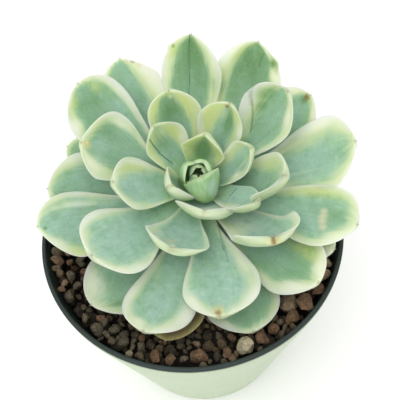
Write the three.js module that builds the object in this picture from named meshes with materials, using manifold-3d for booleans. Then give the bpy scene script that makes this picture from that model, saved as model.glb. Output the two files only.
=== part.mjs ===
// Potted rosette succulent: leaves on a short leaning stem, granular soil, nursery liner, cover pot.
// Millimetres, +Z up, origin at the centre of the pot's flat bottom; -Y is the side the plant leans to.
import * as THREE from 'three';
import { mergeVertices } from 'three/addons/utils/BufferGeometryUtils.js';
import Module from 'manifold-3d';

const wasm = await Module();
wasm.setup();

const rad = (degrees) => degrees * Math.PI / 180;
const add = (p, q, k = 1) => [p[0] + k * q[0], p[1] + k * q[1], p[2] + k * q[2]];
const dot = (p, q) => p[0] * q[0] + p[1] * q[1] + p[2] * q[2];
const cross = (p, q) => [p[1] * q[2] - p[2] * q[1], p[2] * q[0] - p[0] * q[2], p[0] * q[1] - p[1] * q[0]];
const unit = (p) => p.map((c) => c / Math.hypot(...p));
const clamp = (x, low = 0, high = 1) => Math.min(high, Math.max(low, x));

// Driving sizes.
const potHeight = 78;
const lipRadius = 45;
const soilTop = potHeight - 7.6;
const soilCore = soilTop - 6;
const soilLimit = potHeight - 2;
const bank = { from: 33, over: 9, high: 3.8 };
const hollow = { x: 2, y: -32, deep: 2.6, wide: 9.5, long: 6.3 };
const wall = 0.6;
const linerFoot = 12;
const linerFloor = 13.2;
const floorRadius = 29.9;
const linerNeck = potHeight - 2;
const neckRadius = 43.7;
const drains = { count: 5, radius: 3, circle: 18 };
const gap = 0.3;
const sides = 48;

// Crown frame: where the leaning stem's axis meets the rim plane, and how far it leans.
const crown = [3, 10, potHeight];
const axis = unit([Math.sin(rad(-3)), -Math.sin(rad(19)), 1]);
const across = unit(cross([0, 1, 0], axis));
const along = cross(axis, across);
const place = (p) => add(add(add(crown, across, p[0]), along, p[1]), axis, p[2]);
const stemRadius = 4.6;
const stemFrom = -24;
const stemTo = 15;
const leafRoot = 3.4;

// One row a leaf, youngest first: azimuth, reach, rise of the tip, width, arch, cup, roll, height of
// the foot on the stem, sweep, where it is widest, sideways shift of the blade, curl of each margin.
const leafRows = [
  ['leaf_01', 63, 10, 25, 13.5, 18, 40, 0, 13.5, 0, 0.62, -0.6, 0, 0],
  ['leaf_02', 213, 6.8, 23, 13.5, 4, 52, 0, 11.5, 0, 0.72, 0, 0, 0],
  ['leaf_03', 280, 11.8, 22.8, 19.4, 33, 28, -26, 12, 0, 0.78, 1.6, 0, 0],
  ['leaf_04', 11, 16.8, 25.3, 11.2, 14, 62, 0, 10.5, 12, 0.74, -0.5, 0, 0],
  ['leaf_05', 123, 16.5, 24, 14, 14, 55, 0, 11.5, 0, 0.76, 0, 0, 1.5],
  ['leaf_06', 326, 20.4, 24.0, 9.8, 16, 46, -20, 11.5, 0, 0.74, -1.3, 0, 0.8],
  ['leaf_07', 347, 25.2, 25.5, 16, 22, 40, -8, 7.5, 0, 0.79, -0.4, 0, 0.5],
  ['leaf_08', 250, 22.3, 24.4, 18.5, 32, 30, -7, 7.5, 0, 0.82, 0.3, 0, 0],
  ['leaf_09', 53, 21, 26, 14.5, 16, 30, 0, 10.5, 0, 0.7, 0.2, 0, 0],
  ['leaf_10', 99, 23, 27, 16, 16, 32, 0, 10, 0, 0.7, 0.2, 0, 0],
  ['leaf_11', 183, 21.5, 25, 16, 14, 25, 0, 10, 0, 0.74, 0, 0, 0],
  ['leaf_12', 310, 29.2, 27.2, 18.4, 40, 26, -36, 6.5, 0, 0.86, 0.4, 0, 0],
  ['leaf_13', 30, 33, 29, 16, 14, 40, 0, 7, 0, 0.78, -1.2, 3.2, 0],
  ['leaf_14', 160, 31, 27, 21, 14, 25, 0, 7.5, 0, 0.8, -2.5, 0, 0],
  ['leaf_15', 217, 35, 27, 22, 12, 12, 0, 6.5, 0, 0.76, 0, 0, 0],
  ['leaf_16', 274, 40, 22, 21, 8, 5, 0, 5, 0, 0.78, 2, 0, 0],
  ['leaf_17', 333, 46.2, 23, 18, 8, 15, 0, 5, 0, 0.78, 0.6, 0, 0],
  ['leaf_18', 311, 45, 18, 19, 8, 10, 0, 2, 0, 0.8, -0.3, 0, 0],
  ['leaf_19', 247, 44.5, 20, 19.4, 8, 8, 0, 3, 0, 0.82, 1.9, 0, 0],
  ['leaf_20', 192, 45.5, 20, 20.2, 10, 12, 0, 3.5, 0, 0.78, 1.5, 0, 0],
  ['leaf_21', 134, 43.5, 23, 21, 12, 25, 0, 4, 0, 0.78, 2, 0, 0],
  ['leaf_22', 3, 45.5, 22, 21.5, 10, 20, 0, 3, 0, 0.82, -0.6, 0, 0],
  ['leaf_23', 84, 42.5, 23, 18.4, 12, 20, 0, 4, 0, 0.74, 0.4, 0, 0],
  ['leaf_24', 58, 45, 20.5, 21, 12, 20, 0, 2, 0, 0.78, -1.2, 0, 0],
  ['leaf_25', 176, 43, 15, 22, 10, 12, 0, -0.5, 0, 0.78, -1.5, 0, 0],
  ['leaf_26', 114, 44.5, 18, 17.5, 10, 22, 0, 0.5, 0, 0.8, 0.5, 0, 0],
  ['leaf_27', 29, 42, 17, 20, 12, 20, 0, -0.5, 0, 0.74, -0.8, 0, 0],
  ['leaf_28', 284, 45.5, 12, 21, 6, 12, 0, -1, 0, 0.8, 0.2, 0, 0],
  ['leaf_29', 224, 45.5, 12, 22.5, 6, 12, 0, -1, 0, 0.76, 2, 0, 0],
  ['leaf_30', 155, 42, 10, 18, 8, 15, 0, -3.5, 0, 0.74, 0, 0, 0],
  ['leaf_31', 326, 43.8, 12, 19, 6, 15, 0, -2.5, 0, 0.76, 0, 0, 0],
  ['dry_leaf', 253, 45.5, 8.5, 19, -14, 8, 0, -4, 0, 0.8, 0, 0, 0],
];

// How full a leaf's end is on the left and on the right: below 1 pointed, 1 round, above 1 square.
const plainEnd = [0.85, 0.85];
const leafEnds = {
  leaf_01: [0.65, 0.65], leaf_04: [1.5, 0.8], leaf_05: [0.8, 1.3], leaf_06: [0.8, 1.2], leaf_07: [1.25, 1],
  leaf_08: [1.8, 1.3], leaf_09: [0.9, 0.9], leaf_10: [1.25, 0.95], leaf_11: [0.85, 0.95], leaf_12: [1.5, 1],
  leaf_13: [1.6, 0.85], leaf_14: [0.8, 0.95], leaf_15: [1.1, 1.1], leaf_16: [1.35, 0.8], leaf_17: [1.3, 0.8],
  leaf_18: [1, 0.85], leaf_19: [1.05, 1], leaf_20: [0.75, 0.9], leaf_21: [1, 1], leaf_22: [1.1, 0.75],
  leaf_23: [1, 0.7], leaf_26: [1.3, 0.6], leaf_24: [0.85, 0.75], leaf_27: [1, 0.9], leaf_28: [1.1, 0.8],
  bud_hood: [1.6, 0.85], bud_left: [1, 1], bud_right: [1.3, 1.3], bud_back: [1.3, 1.3],
};

// How far the corners of a leaf's end are drawn up, left and right.
const leafHorns = {
  bud_hood: [2.4, 0], leaf_03: [1, 0.4], leaf_07: [0, 4], leaf_08: [0.6, 0.8], leaf_12: [2.8, 1.4],
  leaf_13: [2.5, 0],
};

// Share of the width at a leaf's foot, and how long its narrow neck is: the youngest wrap the stem.
const broadFeet = ['leaf_01', 'leaf_02', 'leaf_03', 'leaf_04', 'leaf_05', 'leaf_06', 'leaf_07'];
const shortNecks = ['leaf_08', 'leaf_09', 'leaf_10', 'leaf_12', 'leaf_18'];
function neck(name) {
  if (name === 'bud_hood') return [0.85, 0.8];
  if (name.startsWith('bud') || broadFeet.includes(name)) return [0.55, 0.9];
  if (name === 'leaf_11') return [0.45, 0.9];
  return shortNecks.includes(name) ? [0.3, 1.2] : [0.3, 1.8];
}

const columns = [-1, -0.5, 0, 0.5, 1];
const undersides = [0.6, 0, -0.6];
const capTriangles = [[0, 1, 7], [1, 2, 7], [2, 6, 7], [2, 5, 6], [2, 3, 5], [3, 4, 5]];
const stations = 9;

function manifold(points, triangles) {
  const mesh = new wasm.Mesh({
    numProp: 3,
    vertProperties: Float32Array.from(points.flat()),
    triVerts: Uint32Array.from(triangles.flat()),
  });
  const body = new wasm.Manifold(mesh);
  if (body.volume() >= 0) return body;
  return manifold(points, triangles.map(([i, j, k]) => [i, k, j]));
}

// Half width of a blade at a share s of its length: a foot and neck as given, a broad blade, an end as full
// as given and a short point.
function halfWidth(s, length, width, wide, full, [footShare, slim]) {
  const blade = length - 0.35;
  const d = s * length;
  const x = clamp(d / (wide * blade));
  const rise = footShare + (1 - footShare) * (x * x * (3 - 2 * x)) ** slim;
  if (d < wide * blade) return 0.5 * width * rise;
  const y = clamp((d - wide * blade) / ((1 - wide) * blade));
  const end = 0.5 * width * Math.max(0, 1 - y ** (2.1 * full)) ** (0.5 / full);
  const point = 2.2 * clamp((length - d) / 2.6) ** 1.1;
  return Math.max(end, point, 0.3);
}

// A leaf as a loft: a cubic spine from the stem to the tip, its section an arc with a lens under it.
function leafBody(row, grow = 0, stout = 1) {
  const [name, azimuth, reach, rise, width, arch, cup, roll, foot, sweep, wide, skew, curlUp, curlDown] = row;
  const [endLeft, endRight] = leafEnds[name] ?? plainEnd;
  const [hornLeft, hornRight] = leafHorns[name] ?? [0, 0];
  const out = (angle, tilt) => [
    Math.cos(tilt) * Math.cos(angle), Math.cos(tilt) * Math.sin(angle), Math.sin(tilt),
  ];
  const turn = rad(azimuth);
  const footTurn = rad(azimuth - sweep);
  const start = [leafRoot * Math.cos(footTurn), leafRoot * Math.sin(footTurn), foot];
  const end = [reach * Math.cos(turn), reach * Math.sin(turn), rise];
  const length = Math.hypot(...add(end, start, -1));
  const slope = Math.atan2(rise - foot, reach - leafRoot);
  const first = add(start, out(footTurn, slope - rad(arch)), 0.36 * length);
  const second = add(end, out(rad(azimuth + sweep), slope + rad(arch)), -0.36 * length);
  const rings = [];
  for (let i = 0; i < stations; i += 1) {
    const s = Math.sin(Math.PI / 2 * i / (stations - 1));
    const t = 1 - s;
    let p = [0, 0, 0];
    [[start, t ** 3], [first, 3 * s * t * t], [second, 3 * s * s * t], [end, s ** 3]].forEach(([q, k]) => {
      p = add(p, q, k);
    });
    let forward = [0, 0, 0];
    [[add(first, start, -1), t * t], [add(second, first, -1), 2 * s * t], [add(end, second, -1), s * s]]
      .forEach(([q, k]) => {
        forward = add(forward, q, k);
      });
    forward = unit(forward);
    const facing = rad(azimuth + sweep * (2 * s - 1));
    const level = [-Math.sin(facing), Math.cos(facing), 0];
    let side = unit(add(level, forward, -dot(level, forward)));
    let up = cross(forward, side);
    const r = rad(roll) * s;
    [side, up] = [
      add(side.map((c) => c * Math.cos(r)), up, Math.sin(r)),
      add(up.map((c) => c * Math.cos(r)), side, -Math.sin(r)),
    ];
    if (i === 0) p = add(p, forward, -grow);
    if (i === stations - 1) p = add(p, forward, grow);
    const halfLeft = halfWidth(s, length, width, wide, endLeft, neck(name));
    const halfRight = halfWidth(s, length, width, wide, endRight, neck(name));
    const full = clamp((halfLeft + halfRight) / 5.2, 0.3, 1);
    const thick = stout * (1.5 + 1.5 * Math.sin(Math.PI * Math.min(1, 0.15 + 0.85 * s)) ** 0.8) * full;
    const bend = Math.max(0.001, rad(cup) * (1 - 0.25 * s));
    const bulge = s * s * (1 - s) * 6.75;
    const corner = Math.exp(-(((s - 0.84) / 0.12) ** 2));
    const at = (v, depth) => {
      const margin = clamp((Math.abs(v) - 0.3) / 0.7) ** 2;
      const half = v > 0 ? halfLeft : halfRight;
      const horn = (v > 0 ? hornLeft : hornRight) * corner * margin;
      const curl = (v > 0 ? curlUp : curlDown) * margin * bulge + horn;
      const a = bend * v;
      const wider = v * grow * 1.5;
      const x = half * Math.sin(a) / bend + wider * Math.cos(a) + skew * bulge;
      const z = half * (1 - Math.cos(a)) / bend + Math.abs(wider) * Math.sin(Math.abs(a)) + curl - depth;
      return place(add(add(p, side, x), up, z));
    };
    const over = 1.2 * grow;
    const belly = (v) => thick * (0.25 * Math.sqrt(1 - v * v) + 0.75 * (1 - v * v));
    rings.push([
      ...columns.map((v) => at(v, Math.abs(v) === 1 ? 0 : -over)),
      ...undersides.map((v) => at(v, belly(v) + over)),
    ]);
  }
  return loft(rings, capTriangles);
}

function loft(rings, caps) {
  const n = rings[0].length;
  const triangles = [];
  for (let i = 0; i + 1 < rings.length; i += 1) {
    for (let j = 0; j < n; j += 1) {
      const a = i * n + j;
      const b = i * n + (j + 1) % n;
      triangles.push([a, b, b + n], [a, b + n, a + n]);
    }
  }
  const last = (rings.length - 1) * n;
  caps.forEach(([i, j, k]) => triangles.push([i, k, j], [last + i, last + j, last + k]));
  return manifold(rings.flat(), triangles);
}

// A closed geometry as a solid, with its shared points merged and its empty triangles dropped.
function solid(geometry) {
  geometry.deleteAttribute('normal');
  geometry.deleteAttribute('uv');
  const merged = mergeVertices(geometry, 1e-4);
  const { array } = merged.attributes.position;
  const index = Array.from(merged.index.array);
  const points = [];
  for (let i = 0; i < array.length; i += 3) points.push(Array.from(array.slice(i, i + 3)));
  const triangles = [];
  for (let i = 0; i < index.length; i += 3) triangles.push(index.slice(i, i + 3));
  return manifold(points, triangles.filter(([i, j, k]) => i !== j && j !== k && k !== i));
}

// A turned solid from a profile of [radius, height] pairs that starts and ends on the axis.
function turned(profile) {
  const lathe = new THREE.LatheGeometry(profile.map(([r, z]) => new THREE.Vector2(r, z)), sides);
  return solid(lathe.rotateX(Math.PI / 2));
}

function rod(from, to, radius, count) {
  const ring = (h) => Array.from({ length: count }, (_, i) => {
    const a = 2 * Math.PI * i / count;
    return place([radius * Math.cos(a), radius * Math.sin(a), h]);
  });
  const caps = Array.from({ length: count - 2 }, (_, i) => [0, i + 1, i + 2]);
  return loft([ring(from), ring(to)], caps);
}

function largest(body) {
  const pieces = body.decompose();
  return pieces.reduce((best, piece) => (piece.volume() > best.volume() ? piece : best));
}

// Cover pot: a plain tapered cup with a flat bottom and a wall that thickens downward.
const coverPot = turned([
  [0, 0], [29.6, 0], [30.8, 1.2], [lipRadius, potHeight - 2.6], [lipRadius, potHeight - 1.5],
  [lipRadius - wall, potHeight - 1.5], [lipRadius - wall, potHeight - 3], [29.4, 3], [0, 3],
]);

// Liner pot: a thin tapered wall that hangs by its rolled lip, with drain holes in its bottom.
let liner = turned([
  [0, linerFoot], [floorRadius + wall, linerFoot], [neckRadius + wall, linerNeck],
  [neckRadius + wall, potHeight - 1.2], [lipRadius, potHeight - 1.2], [lipRadius, potHeight - 0.3],
  [lipRadius - 0.3, potHeight], [neckRadius + 0.3, potHeight], [neckRadius, potHeight - 0.3],
  [neckRadius, linerNeck], [floorRadius, linerFloor], [0, linerFloor],
]);
for (let i = 0; i < drains.count; i += 1) {
  const a = rad(360 * i / drains.count);
  const drain = new THREE.CylinderGeometry(drains.radius, drains.radius, 6, 10).rotateX(Math.PI / 2);
  drain.translate(drains.circle * Math.cos(a), drains.circle * Math.sin(a), linerFoot);
  liner = liner.subtract(solid(drain));
}

const linerSlope = (neckRadius - floorRadius) / (linerNeck - linerFloor);
const linerInside = (z) => floorRadius + linerSlope * (z - linerFloor);

// Granular soil: a filling whose top is raised in rounded granules on a jittered honeycomb.
const granule = 6.2;
const wobble = (i, j, k) => {
  const w = Math.sin(12.9898 * i + 78.233 * j + 37.719 * k) * 43758.5453;
  return w - Math.floor(w);
};
function granuleHeight(x, y) {
  const row = Math.round(y / (granule * 0.87));
  let near = 99;
  let top = 0;
  for (let j = row - 2; j <= row + 2; j += 1) {
    const column = Math.round(x / granule - 0.5 * (j & 1));
    for (let i = column - 2; i <= column + 2; i += 1) {
      const cx = (i + 0.5 * (j & 1) + 0.5 * (wobble(i, j, 1) - 0.5)) * granule;
      const cy = (j + 0.5 * (wobble(i, j, 2) - 0.5)) * granule * 0.87;
      const d = Math.hypot(x - cx, y - cy);
      if (d < near) {
        near = d;
        top = wobble(i, j, 3);
      }
    }
  }
  return 0.9 * top - 1.8 * clamp(near / (granule * 0.6)) ** 2;
}

// Height of the soil: it rises towards the wall and has a hollow in front.
function soilLevel(x, y) {
  const t = clamp((Math.hypot(x, y) - bank.from) / bank.over);
  const raised = t * t * (3 - 2 * t) * bank.high;
  const far = ((x - hollow.x) / hollow.wide) ** 2 + ((y - hollow.y) / hollow.long) ** 2;
  return soilTop + raised - hollow.deep * Math.exp(-far);
}

function soilBody() {
  const step = 2.6;
  const count = 38;
  const points = [];
  const triangles = [];
  for (let j = 0; j < count; j += 1) {
    for (let i = 0; i < count; i += 1) {
      const x = (i - (count - 1) / 2 + 0.5 * (j & 1)) * step;
      const y = (j - (count - 1) / 2) * step * 0.9;
      points.push([x, y, soilLevel(x, y) + granuleHeight(x, y)]);
    }
  }
  const top = points.length;
  points.slice().forEach(([x, y]) => points.push([x, y, soilCore - 2]));
  for (let j = 0; j + 1 < count; j += 1) {
    for (let i = 0; i + 1 < count; i += 1) {
      const a = j * count + i;
      const b = a + count;
      const pair = j & 1 ? [[a, a + 1, b + 1], [a, b + 1, b]] : [[a, a + 1, b], [a + 1, b + 1, b]];
      pair.forEach(([p, q, r]) => triangles.push([p, q, r], [p + top, r + top, q + top]));
    }
  }
  const edge = [];
  for (let i = 0; i < count; i += 1) edge.push(i);
  for (let j = 1; j < count; j += 1) edge.push(j * count + count - 1);
  for (let i = count - 2; i >= 0; i -= 1) edge.push((count - 1) * count + i);
  for (let j = count - 2; j > 0; j -= 1) edge.push(j * count);
  edge.forEach((a, k) => {
    const b = edge[(k + 1) % edge.length];
    triangles.push([a, a + top, b + top], [a, b + top, b]);
  });
  const relief = manifold(points, triangles);
  const bottom = linerFloor + gap;
  const filling = (top) => turned([
    [0, bottom], [linerInside(bottom) - gap, bottom], [linerInside(top) - gap, top], [0, top],
  ]);
  const inside = filling(soilLimit);
  const block = filling(soilCore);
  return largest(relief.intersect(inside).add(block));
}

const stem = rod(stemFrom, stemTo, stemRadius, 12);
const hole = rod(stemFrom - gap, stemTo + 20, stemRadius + gap, 12);
const meets = (a, b) => [0, 1, 2].every((k) => a.min[k] < b.max[k] && b.min[k] < a.max[k]);
let soil = soilBody().subtract(hole);
for (const row of leafRows) {
  const skin = leafBody(row, gap);
  if (meets(soil.boundingBox(), skin.boundingBox())) soil = soil.subtract(skin);
}
soil = largest(soil);

// Centre bud: small boat-shaped leaves wrapped round each other, a little forward of the stem's axis.
const budRows = [
  ['bud_hood', 286, 1.6, 24.6, 12.6, 46, 70, -22, 15, 0, 0.5, -0.6, 0, 0],
  ['bud_left', 156, 2.6, 25.4, 8.4, 26, 70, -10, 15, -20, 0.66, -0.2, 0, 0],
  ['bud_right', 54, 2.6, 23.8, 9.4, 12, 80, 0, 15, 0, 0.74, 0, 0, 0],
  ['bud_back', 110, 1.2, 22.8, 6.4, 16, 80, 0, 15.6, 0, 0.7, 0, 0, 0],
  ['bud_inner', 225, 0.5, 22.4, 4.2, 24, 50, 0, 15.6, 0, 0.62, 0, 0, 0],
  ['bud_heart', 20, 0.8, 22.4, 4.4, 24, 50, 0, 15.6, 0, 0.62, 0, 0, 0],
];
const budShift = add(across.map((c) => 1.8 * c), along, -1);
const knob = (grow) => rod(stemTo + gap - grow, stemTo + 3.2 + grow, 3.4 + grow, 10);
const budBody = (grow) => budRows
  .reduce((body, row) => body.add(leafBody(row, grow, row[0] === 'bud_hood' ? 1 : 0.6)), knob(grow))
  .translate(budShift);
const stemSkin = rod(stemFrom, stemTo + gap, stemRadius + gap, 12);
const bud = largest(budBody(0).subtract(stemSkin));
const budSkin = budBody(gap);

const colours = {
  leaf: 0xa9c7a4, dry_leaf: 0x8a7546, bud: 0xb5cf9a, stem: 0x8d9a6b, soil: 0x5c4d3d, liner_pot: 0x26302c,
  cover_pot: 0xbccfac,
};
const group = new THREE.Group();
function piece(name, body, roughness = 0.6) {
  const mesh = body.getMesh();
  const positions = new Float32Array(mesh.numVert * 3);
  for (let i = 0; i < mesh.numVert; i += 1) {
    for (let k = 0; k < 3; k += 1) positions[3 * i + k] = mesh.vertProperties[i * mesh.numProp + k];
  }
  let geometry = new THREE.BufferGeometry();
  geometry.setAttribute('position', new THREE.BufferAttribute(positions, 3));
  geometry.setIndex(Array.from(mesh.triVerts));
  geometry = mergeVertices(geometry, 1e-4);
  const colour = colours[name] ?? colours.leaf;
  const material = new THREE.MeshStandardMaterial({ color: colour, roughness, flatShading: true });
  const node = new THREE.Mesh(geometry, material);
  node.name = name;
  group.add(node);
}

piece('cover_pot', coverPot);
piece('liner_pot', liner);
piece('soil', soil, 0.95);
piece('stem', stem);
piece('bud', bud);
const taken = [stemSkin, budSkin];
for (const row of leafRows) {
  let body = leafBody(row);
  for (const skin of taken) {
    if (meets(body.boundingBox(), skin.boundingBox())) body = largest(body.subtract(skin));
  }
  piece(row[0], body);
  taken.push(leafBody(row, gap));
}

export default group;
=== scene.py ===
"""Looks of the potted variegated rosette: fine leaves, granules, a stem and two nested pots."""
import math
from collections import namedtuple

import bpy
import numpy as np
from mathutils import Matrix, Vector


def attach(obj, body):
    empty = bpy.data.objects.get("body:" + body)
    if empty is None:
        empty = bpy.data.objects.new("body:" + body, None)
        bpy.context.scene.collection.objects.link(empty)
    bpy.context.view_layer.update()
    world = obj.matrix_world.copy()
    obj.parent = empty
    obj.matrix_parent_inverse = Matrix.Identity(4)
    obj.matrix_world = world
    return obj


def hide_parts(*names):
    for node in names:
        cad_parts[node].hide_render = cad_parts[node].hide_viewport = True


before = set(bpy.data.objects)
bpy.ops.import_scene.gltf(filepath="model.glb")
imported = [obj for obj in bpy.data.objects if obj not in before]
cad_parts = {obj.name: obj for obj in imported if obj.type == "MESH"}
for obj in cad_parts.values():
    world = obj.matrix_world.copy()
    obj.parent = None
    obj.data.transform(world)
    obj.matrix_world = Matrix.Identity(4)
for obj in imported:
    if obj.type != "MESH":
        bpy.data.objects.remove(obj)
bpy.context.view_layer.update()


def unit(vectors):
    """Vectors along the last axis, made one long."""
    return vectors / np.linalg.norm(vectors, axis=-1, keepdims=True)


# The pots, in mm, and how many sides their turned walls have.
POT_HEIGHT = 78.0
LIP_RADIUS = 45.0
LINER_NECK = POT_HEIGHT - 2.0
LINER_FLOOR = 13.2
LINER_FOOT = 12.0
NECK_RADIUS = 43.7
FLOOR_RADIUS = 29.9
POT_SIDES = 192

# The soil: its level, the bank at the wall, and the hollow in front with the squares of its two spreads.
SOIL_TOP = 70.6
BANK_FROM = 33.0
BANK_TO = 42.0
BANK_HEIGHT = 3.8
HOLLOW_CENTRE = (2.0, -32.0)
HOLLOW_SPREAD = (90.0, 40.0)
HOLLOW_DEPTH = 2.6

# The crown frame: where the leaning stem's axis meets the rim plane, and its three directions.
CROWN = np.array([3.0, 10.0, POT_HEIGHT])
AXIS = unit(np.array([math.sin(math.radians(-3)), -math.sin(math.radians(19)), 1.0]))
ACROSS = unit(np.cross([0.0, 1.0, 0.0], AXIS))
ALONG = np.cross(AXIS, ACROSS)
BUD_SHIFT = np.array([1.8, -1.0, 0.0])

# The stem along its axis, how far from the axis a leaf starts, and the short point at a leaf's tip.
STEM_FROM = -24.0
STEM_TO = 15.0
STEM_RADIUS = 4.45
FOOT_RADIUS = 3.4
POINT_LENGTH = 0.35
POINT_HALF_WIDTH = 2.2
POINT_TAPER = 2.6

# A blade: how far the inner points of its spine lie from its ends, as a share of the length. Then, in mm, the
# raised rim, half the greatest thickness, the half width from which it is fully thick, the drop below the
# spine and the width of a groove. Last, how round the two halves of an end are where LEAF_ENDS says nothing.
SPINE_ARM = 0.36
RIM_HEIGHT = 0.24
HALF_THICK = 1.5
FULL_HALF_WIDTH = 2.6
BLADE_DROP = 0.15
GROOVE_WIDTH = 0.55
USUAL_ENDS = (0.85, 0.85)

# A distance past the reach of every crease and blemish.
FAR = 9.0

# One row a leaf, youngest first: azimuth, reach, rise of the tip, width, arch, cup, roll, height of the
# foot on the stem, sweep, where it is widest, sideways shift, curl of the left and of the right margin.
Leaf = namedtuple("Leaf", "azimuth reach rise width arch cup roll foot sweep wide skew curl_left curl_right")
LEAF_ROWS = {
    "leaf_01": (63, 10, 25, 13.5, 18, 40, 0, 13.5, 0, 0.62, -0.6, 0, 0),
    "leaf_02": (213, 6.8, 23, 13.5, 4, 52, 0, 11.5, 0, 0.72, 0, 0, 0),
    "leaf_03": (280, 11.8, 22.8, 19.4, 33, 28, -26, 12, 0, 0.78, 1.6, 0, 0),
    "leaf_04": (11, 16.8, 25.3, 11.2, 14, 62, 0, 10.5, 12, 0.74, -0.5, 0, 0),
    "leaf_05": (123, 16.5, 24, 14, 14, 55, 0, 11.5, 0, 0.76, 0, 0, 1.5),
    "leaf_06": (326, 20.4, 24.0, 9.8, 16, 46, -20, 11.5, 0, 0.74, -1.3, 0, 0.8),
    "leaf_07": (347, 25.2, 25.5, 16, 22, 40, -8, 7.5, 0, 0.79, -0.4, 0, 0.5),
    "leaf_08": (250, 22.3, 24.4, 18.5, 32, 30, -7, 7.5, 0, 0.82, 0.3, 0, 0),
    "leaf_09": (53, 21, 26, 14.5, 16, 30, 0, 10.5, 0, 0.7, 0.2, 0, 0),
    "leaf_10": (99, 23, 27, 16, 16, 32, 0, 10, 0, 0.7, 0.2, 0, 0),
    "leaf_11": (183, 21.5, 25, 16, 14, 25, 0, 10, 0, 0.74, 0, 0, 0),
    "leaf_12": (310, 29.2, 27.2, 18.4, 40, 26, -36, 6.5, 0, 0.86, 0.4, 0, 0),
    "leaf_13": (30, 33, 29, 16, 14, 40, 0, 7, 0, 0.78, -1.2, 3.2, 0),
    "leaf_14": (160, 31, 27, 21, 14, 25, 0, 7.5, 0, 0.8, -2.5, 0, 0),
    "leaf_15": (217, 35, 27, 22, 12, 12, 0, 6.5, 0, 0.76, 0, 0, 0),
    "leaf_16": (274, 40, 22, 21, 8, 5, 0, 5, 0, 0.78, 2, 0, 0),
    "leaf_17": (333, 46.2, 23, 18, 8, 15, 0, 5, 0, 0.78, 0.6, 0, 0),
    "leaf_18": (311, 45, 18, 19, 8, 10, 0, 2, 0, 0.8, -0.3, 0, 0),
    "leaf_19": (247, 44.5, 20, 19.4, 8, 8, 0, 3, 0, 0.82, 1.9, 0, 0),
    "leaf_20": (192, 45.5, 20, 20.2, 10, 12, 0, 3.5, 0, 0.78, 1.5, 0, 0),
    "leaf_21": (134, 43.5, 23, 21, 12, 25, 0, 4, 0, 0.78, 2, 0, 0),
    "leaf_22": (3, 45.5, 22, 21.5, 10, 20, 0, 3, 0, 0.82, -0.6, 0, 0),
    "leaf_23": (84, 42.5, 23, 18.4, 12, 20, 0, 4, 0, 0.74, 0.4, 0, 0),
    "leaf_24": (58, 45, 20.5, 21, 12, 20, 0, 2, 0, 0.78, -1.2, 0, 0),
    "leaf_25": (176, 43, 15, 22, 10, 12, 0, -0.5, 0, 0.78, -1.5, 0, 0),
    "leaf_26": (114, 44.5, 18, 17.5, 10, 22, 0, 0.5, 0, 0.8, 0.5, 0, 0),
    "leaf_27": (29, 42, 17, 20, 12, 20, 0, -0.5, 0, 0.74, -0.8, 0, 0),
    "leaf_28": (284, 45.5, 12, 21, 6, 12, 0, -1, 0, 0.8, 0.2, 0, 0),
    "leaf_29": (224, 45.5, 12, 22.5, 6, 12, 0, -1, 0, 0.76, 2, 0, 0),
    "leaf_30": (155, 42, 10, 18, 8, 15, 0, -3.5, 0, 0.74, 0, 0, 0),
    "leaf_31": (326, 43.8, 12, 19, 6, 15, 0, -2.5, 0, 0.76, 0, 0, 0),
    "dry_leaf": (253, 45.5, 8.5, 19, -14, 8, 0, -4, 0, 0.8, 0, 0, 0),
}
BUD_ROWS = {
    "bud_hood": (286, 1.6, 24.6, 12.6, 46, 70, -22, 15, 0, 0.5, -0.6, 0, 0),
    "bud_left": (156, 2.6, 25.4, 8.4, 26, 70, -10, 15, -20, 0.66, -0.2, 0, 0),
    "bud_right": (54, 2.6, 23.8, 9.4, 12, 80, 0, 15, 0, 0.74, 0, 0, 0),
    "bud_back": (110, 1.2, 22.8, 6.4, 16, 80, 0, 15.6, 0, 0.7, 0, 0, 0),
    "bud_inner": (225, 0.5, 22.4, 4.2, 24, 50, 0, 15.6, 0, 0.62, 0, 0, 0),
    "bud_heart": (20, 0.8, 22.4, 4.4, 24, 50, 0, 15.6, 0, 0.62, 0, 0, 0),
}

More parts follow.
